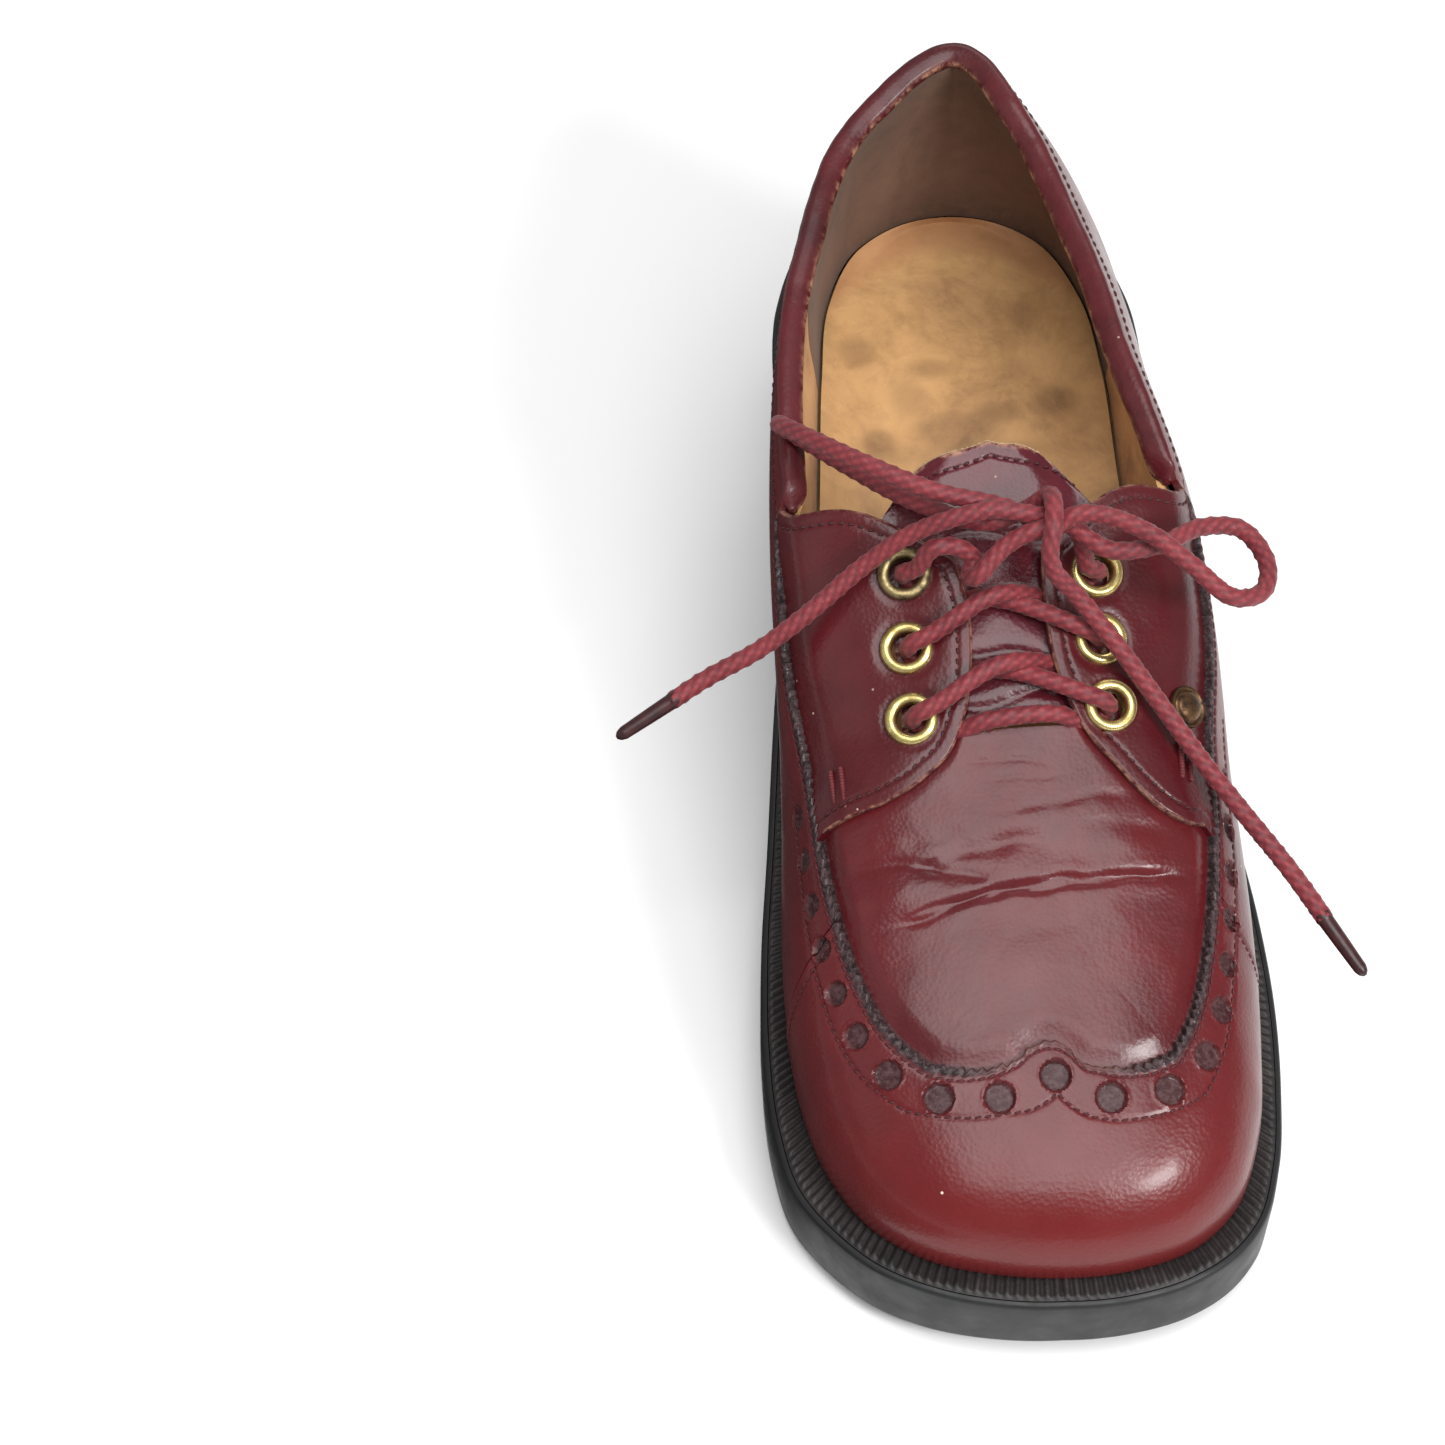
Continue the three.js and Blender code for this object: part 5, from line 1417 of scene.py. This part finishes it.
def laces():
    """The laced stretch, then the knot: each top eyelet's lace goes on into a loop and an end."""
    medial_up = over_gap(1, 2, 1, 0.0) + over_gap(-1, 1, 0, 3.6)
    lateral_up = over_gap(-1, 2, 1, 3.6) + over_gap(1, 1, 0, 0.0)
    laced = [tuple(hole(1, 0, -3.2))] + medial_up[::-1] + bar()[::-1] + lateral_up + [tuple(hole(-1, 0, -3.2))]
    lace_tube("lace_laced", laced, ["lace_bar", "lace_cross_1", "lace_cross_2", "lace_cross_3", "lace_cross_4"])
    rise = {side: [tuple(hole(side, 0, -2.4)), tuple(hole(side, 0, 0.9)),
                   tuple(hole(side, 0, 3.4) + [-2.6 * side, 0, 0.4])] for side in NAME}
    to_left = [(13, -3.6, 99.5), (6.5, -1.2, 99)]
    wrap = [(-14.3, -5.2, 97), (-9.7, -5.0, 96.6), (-6.6, -6.2, 94), (-7.6, -9.2, 92.6), (-6.2, -10.8, 94.8),
            (-3.4, -9.0, 97.6), (-0.6, -7.4, 99.8), (4.6, -6.2, 102.2), (8.8, -5.4, 102.6)]
    lace_tube("lace_bow_lateral_loop", rise[1] + to_left + LOOP_LATERAL + END_MEDIAL,
              ["lace_rise_medial", "lace_loop_lateral", "lace_end_medial", "lace_knot"],
              [aglet(1, END_MEDIAL)])
    lace_tube("lace_bow_medial_loop", rise[-1] + wrap + LOOP_MEDIAL + [(10.5, -3.4, 101.2)] + END_LATERAL,
              ["lace_rise_lateral", "lace_loop_medial", "lace_end_lateral"],
              [aglet(-1, END_LATERAL)])


# ---------------------------------------------------------------- build
def build():
    mudguard()
    quarter(1)
    quarter(-1)
    apron()
    facing(1)
    facing(-1)
    for side in (1, -1):
        for i in range(3):
            eyelet(side, i)
    for piece in (stud, tongue, topline_binding, linings, welt, outsole, heel, sock, stitch_rows, laces):
        piece()
    hidden = {"insole_board": "fibre", "shank": "steel", "heel_screw": "steel", "top_piece_pin_1": "steel",
              "top_piece_pin_2": "steel", "vamp_lining": "lining", "toe_puff": "stiffener"}
    for node, mat in hidden.items():
        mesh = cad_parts[node].data
        mesh.materials.clear()
        mesh.materials.append(MAT[mat])


MAT["raw"] = plain("raw_edge", srgb(170, 140, 104), srgb(206, 180, 144), (0.8, 0.95), 500, (2600, 0.6, 0.0004))
build()


# ---------------------------------------------------------------- stage, light, camera
def card(name, x0, x1, y0, y1, z, dark, light):
    """A flat matt rectangle."""
    mesh = bpy.data.meshes.new(name)
    mesh.from_pydata([(x0, y0, z), (x1, y0, z), (x1, y1, z), (x0, y1, z)], [], [(0, 1, 2, 3)])
    obj = bpy.data.objects.new(name, mesh)
    bpy.context.scene.collection.objects.link(obj)
    m, nt, bsdf, co = node_material(name + "_matt")
    link(nt, ramp(nt, noise(nt, co, 3, 2), "Fac", [(0.3, grey(dark)), (0.7, grey(light))]), "Color", bsdf, "Base Color")
    bsdf.inputs["Roughness"].default_value = 0.9
    mesh.materials.append(m)
    return obj


def flag():
    """A dark card lying beside the shoe, seen only in reflections, where the other shoe of a pair would stand."""
    obj = card("flag", -0.4, -0.054, -0.3, 0.3, 0.0006, 0.03, 0.05)
    obj.visible_camera = obj.visible_diffuse = obj.visible_shadow = obj.visible_transmission = False


def area(name, place, aim, size, power, color=(1, 1, 1)):
    data = bpy.data.lights.new(name, "AREA")
    data.shape = "RECTANGLE"
    data.size, data.size_y = size
    data.energy = power
    data.color = color
    obj = bpy.data.objects.new(name, data)
    obj.location = place
    obj.rotation_euler = (Vector(aim) - Vector(place)).to_track_quat("-Z", "Y").to_euler()
    bpy.context.scene.collection.objects.link(obj)


def lights():
    world = bpy.context.scene.world or bpy.data.worlds.new("world")
    bpy.context.scene.world = world
    world.use_nodes = True
    bg = world.node_tree.nodes["Background"]
    bg.inputs["Color"].default_value = (1, 1, 1, 1)
    bg.inputs["Strength"].default_value = 0.36
    area("key", (0.62, -0.75, 0.95), (0, 0, 0.04), (0.36, 0.2), 9)
    area("left_fill", (-0.95, -0.2, 0.7), (0, 0, 0.05), (0.5, 0.7), 0.6)
    area("top", (0.04, -0.4, 1.25), (0, 0, 0.05), (0.8, 1.05), 13)
    area("back", (0.2, 0.9, 0.9), (0, 0, 0.06), (0.6, 0.4), 2.2)


def camera():
    """The photograph's viewing angle: from above the toe, a little to the lateral side."""
    az, el, roll = (math.radians(x) for x in (-2.11, 55.03, -0.8))
    eye = (np.array([-70.5, -406.96, 616.14]) + CENTRE) / 1000
    fwd = np.array([-math.sin(az) * math.cos(el), math.cos(az) * math.cos(el), -math.sin(el)])
    right = np.cross(fwd, [0, 0, 1.0])
    right /= np.linalg.norm(right)
    up = np.cross(right, fwd)
    x = right * math.cos(roll) + up * math.sin(roll)
    y = -right * math.sin(roll) + up * math.cos(roll)
    m = Matrix([(*r,) for r in np.c_[x, y, -fwd, eye].tolist()] + [(0, 0, 0, 1)])
    data = bpy.data.cameras.new("camera")
    data.sensor_width, data.lens = 36, 84.73
    data.clip_start = 0.01
    obj = bpy.data.objects.new("camera", data)
    obj.matrix_world = m
    bpy.context.scene.collection.objects.link(obj)
    bpy.context.scene.camera = obj


card("floor", -6, 6, -6, 6, 0, 0.93, 0.95)
flag()
lights()
camera()
bpy.context.scene.view_settings.view_transform = "Standard"
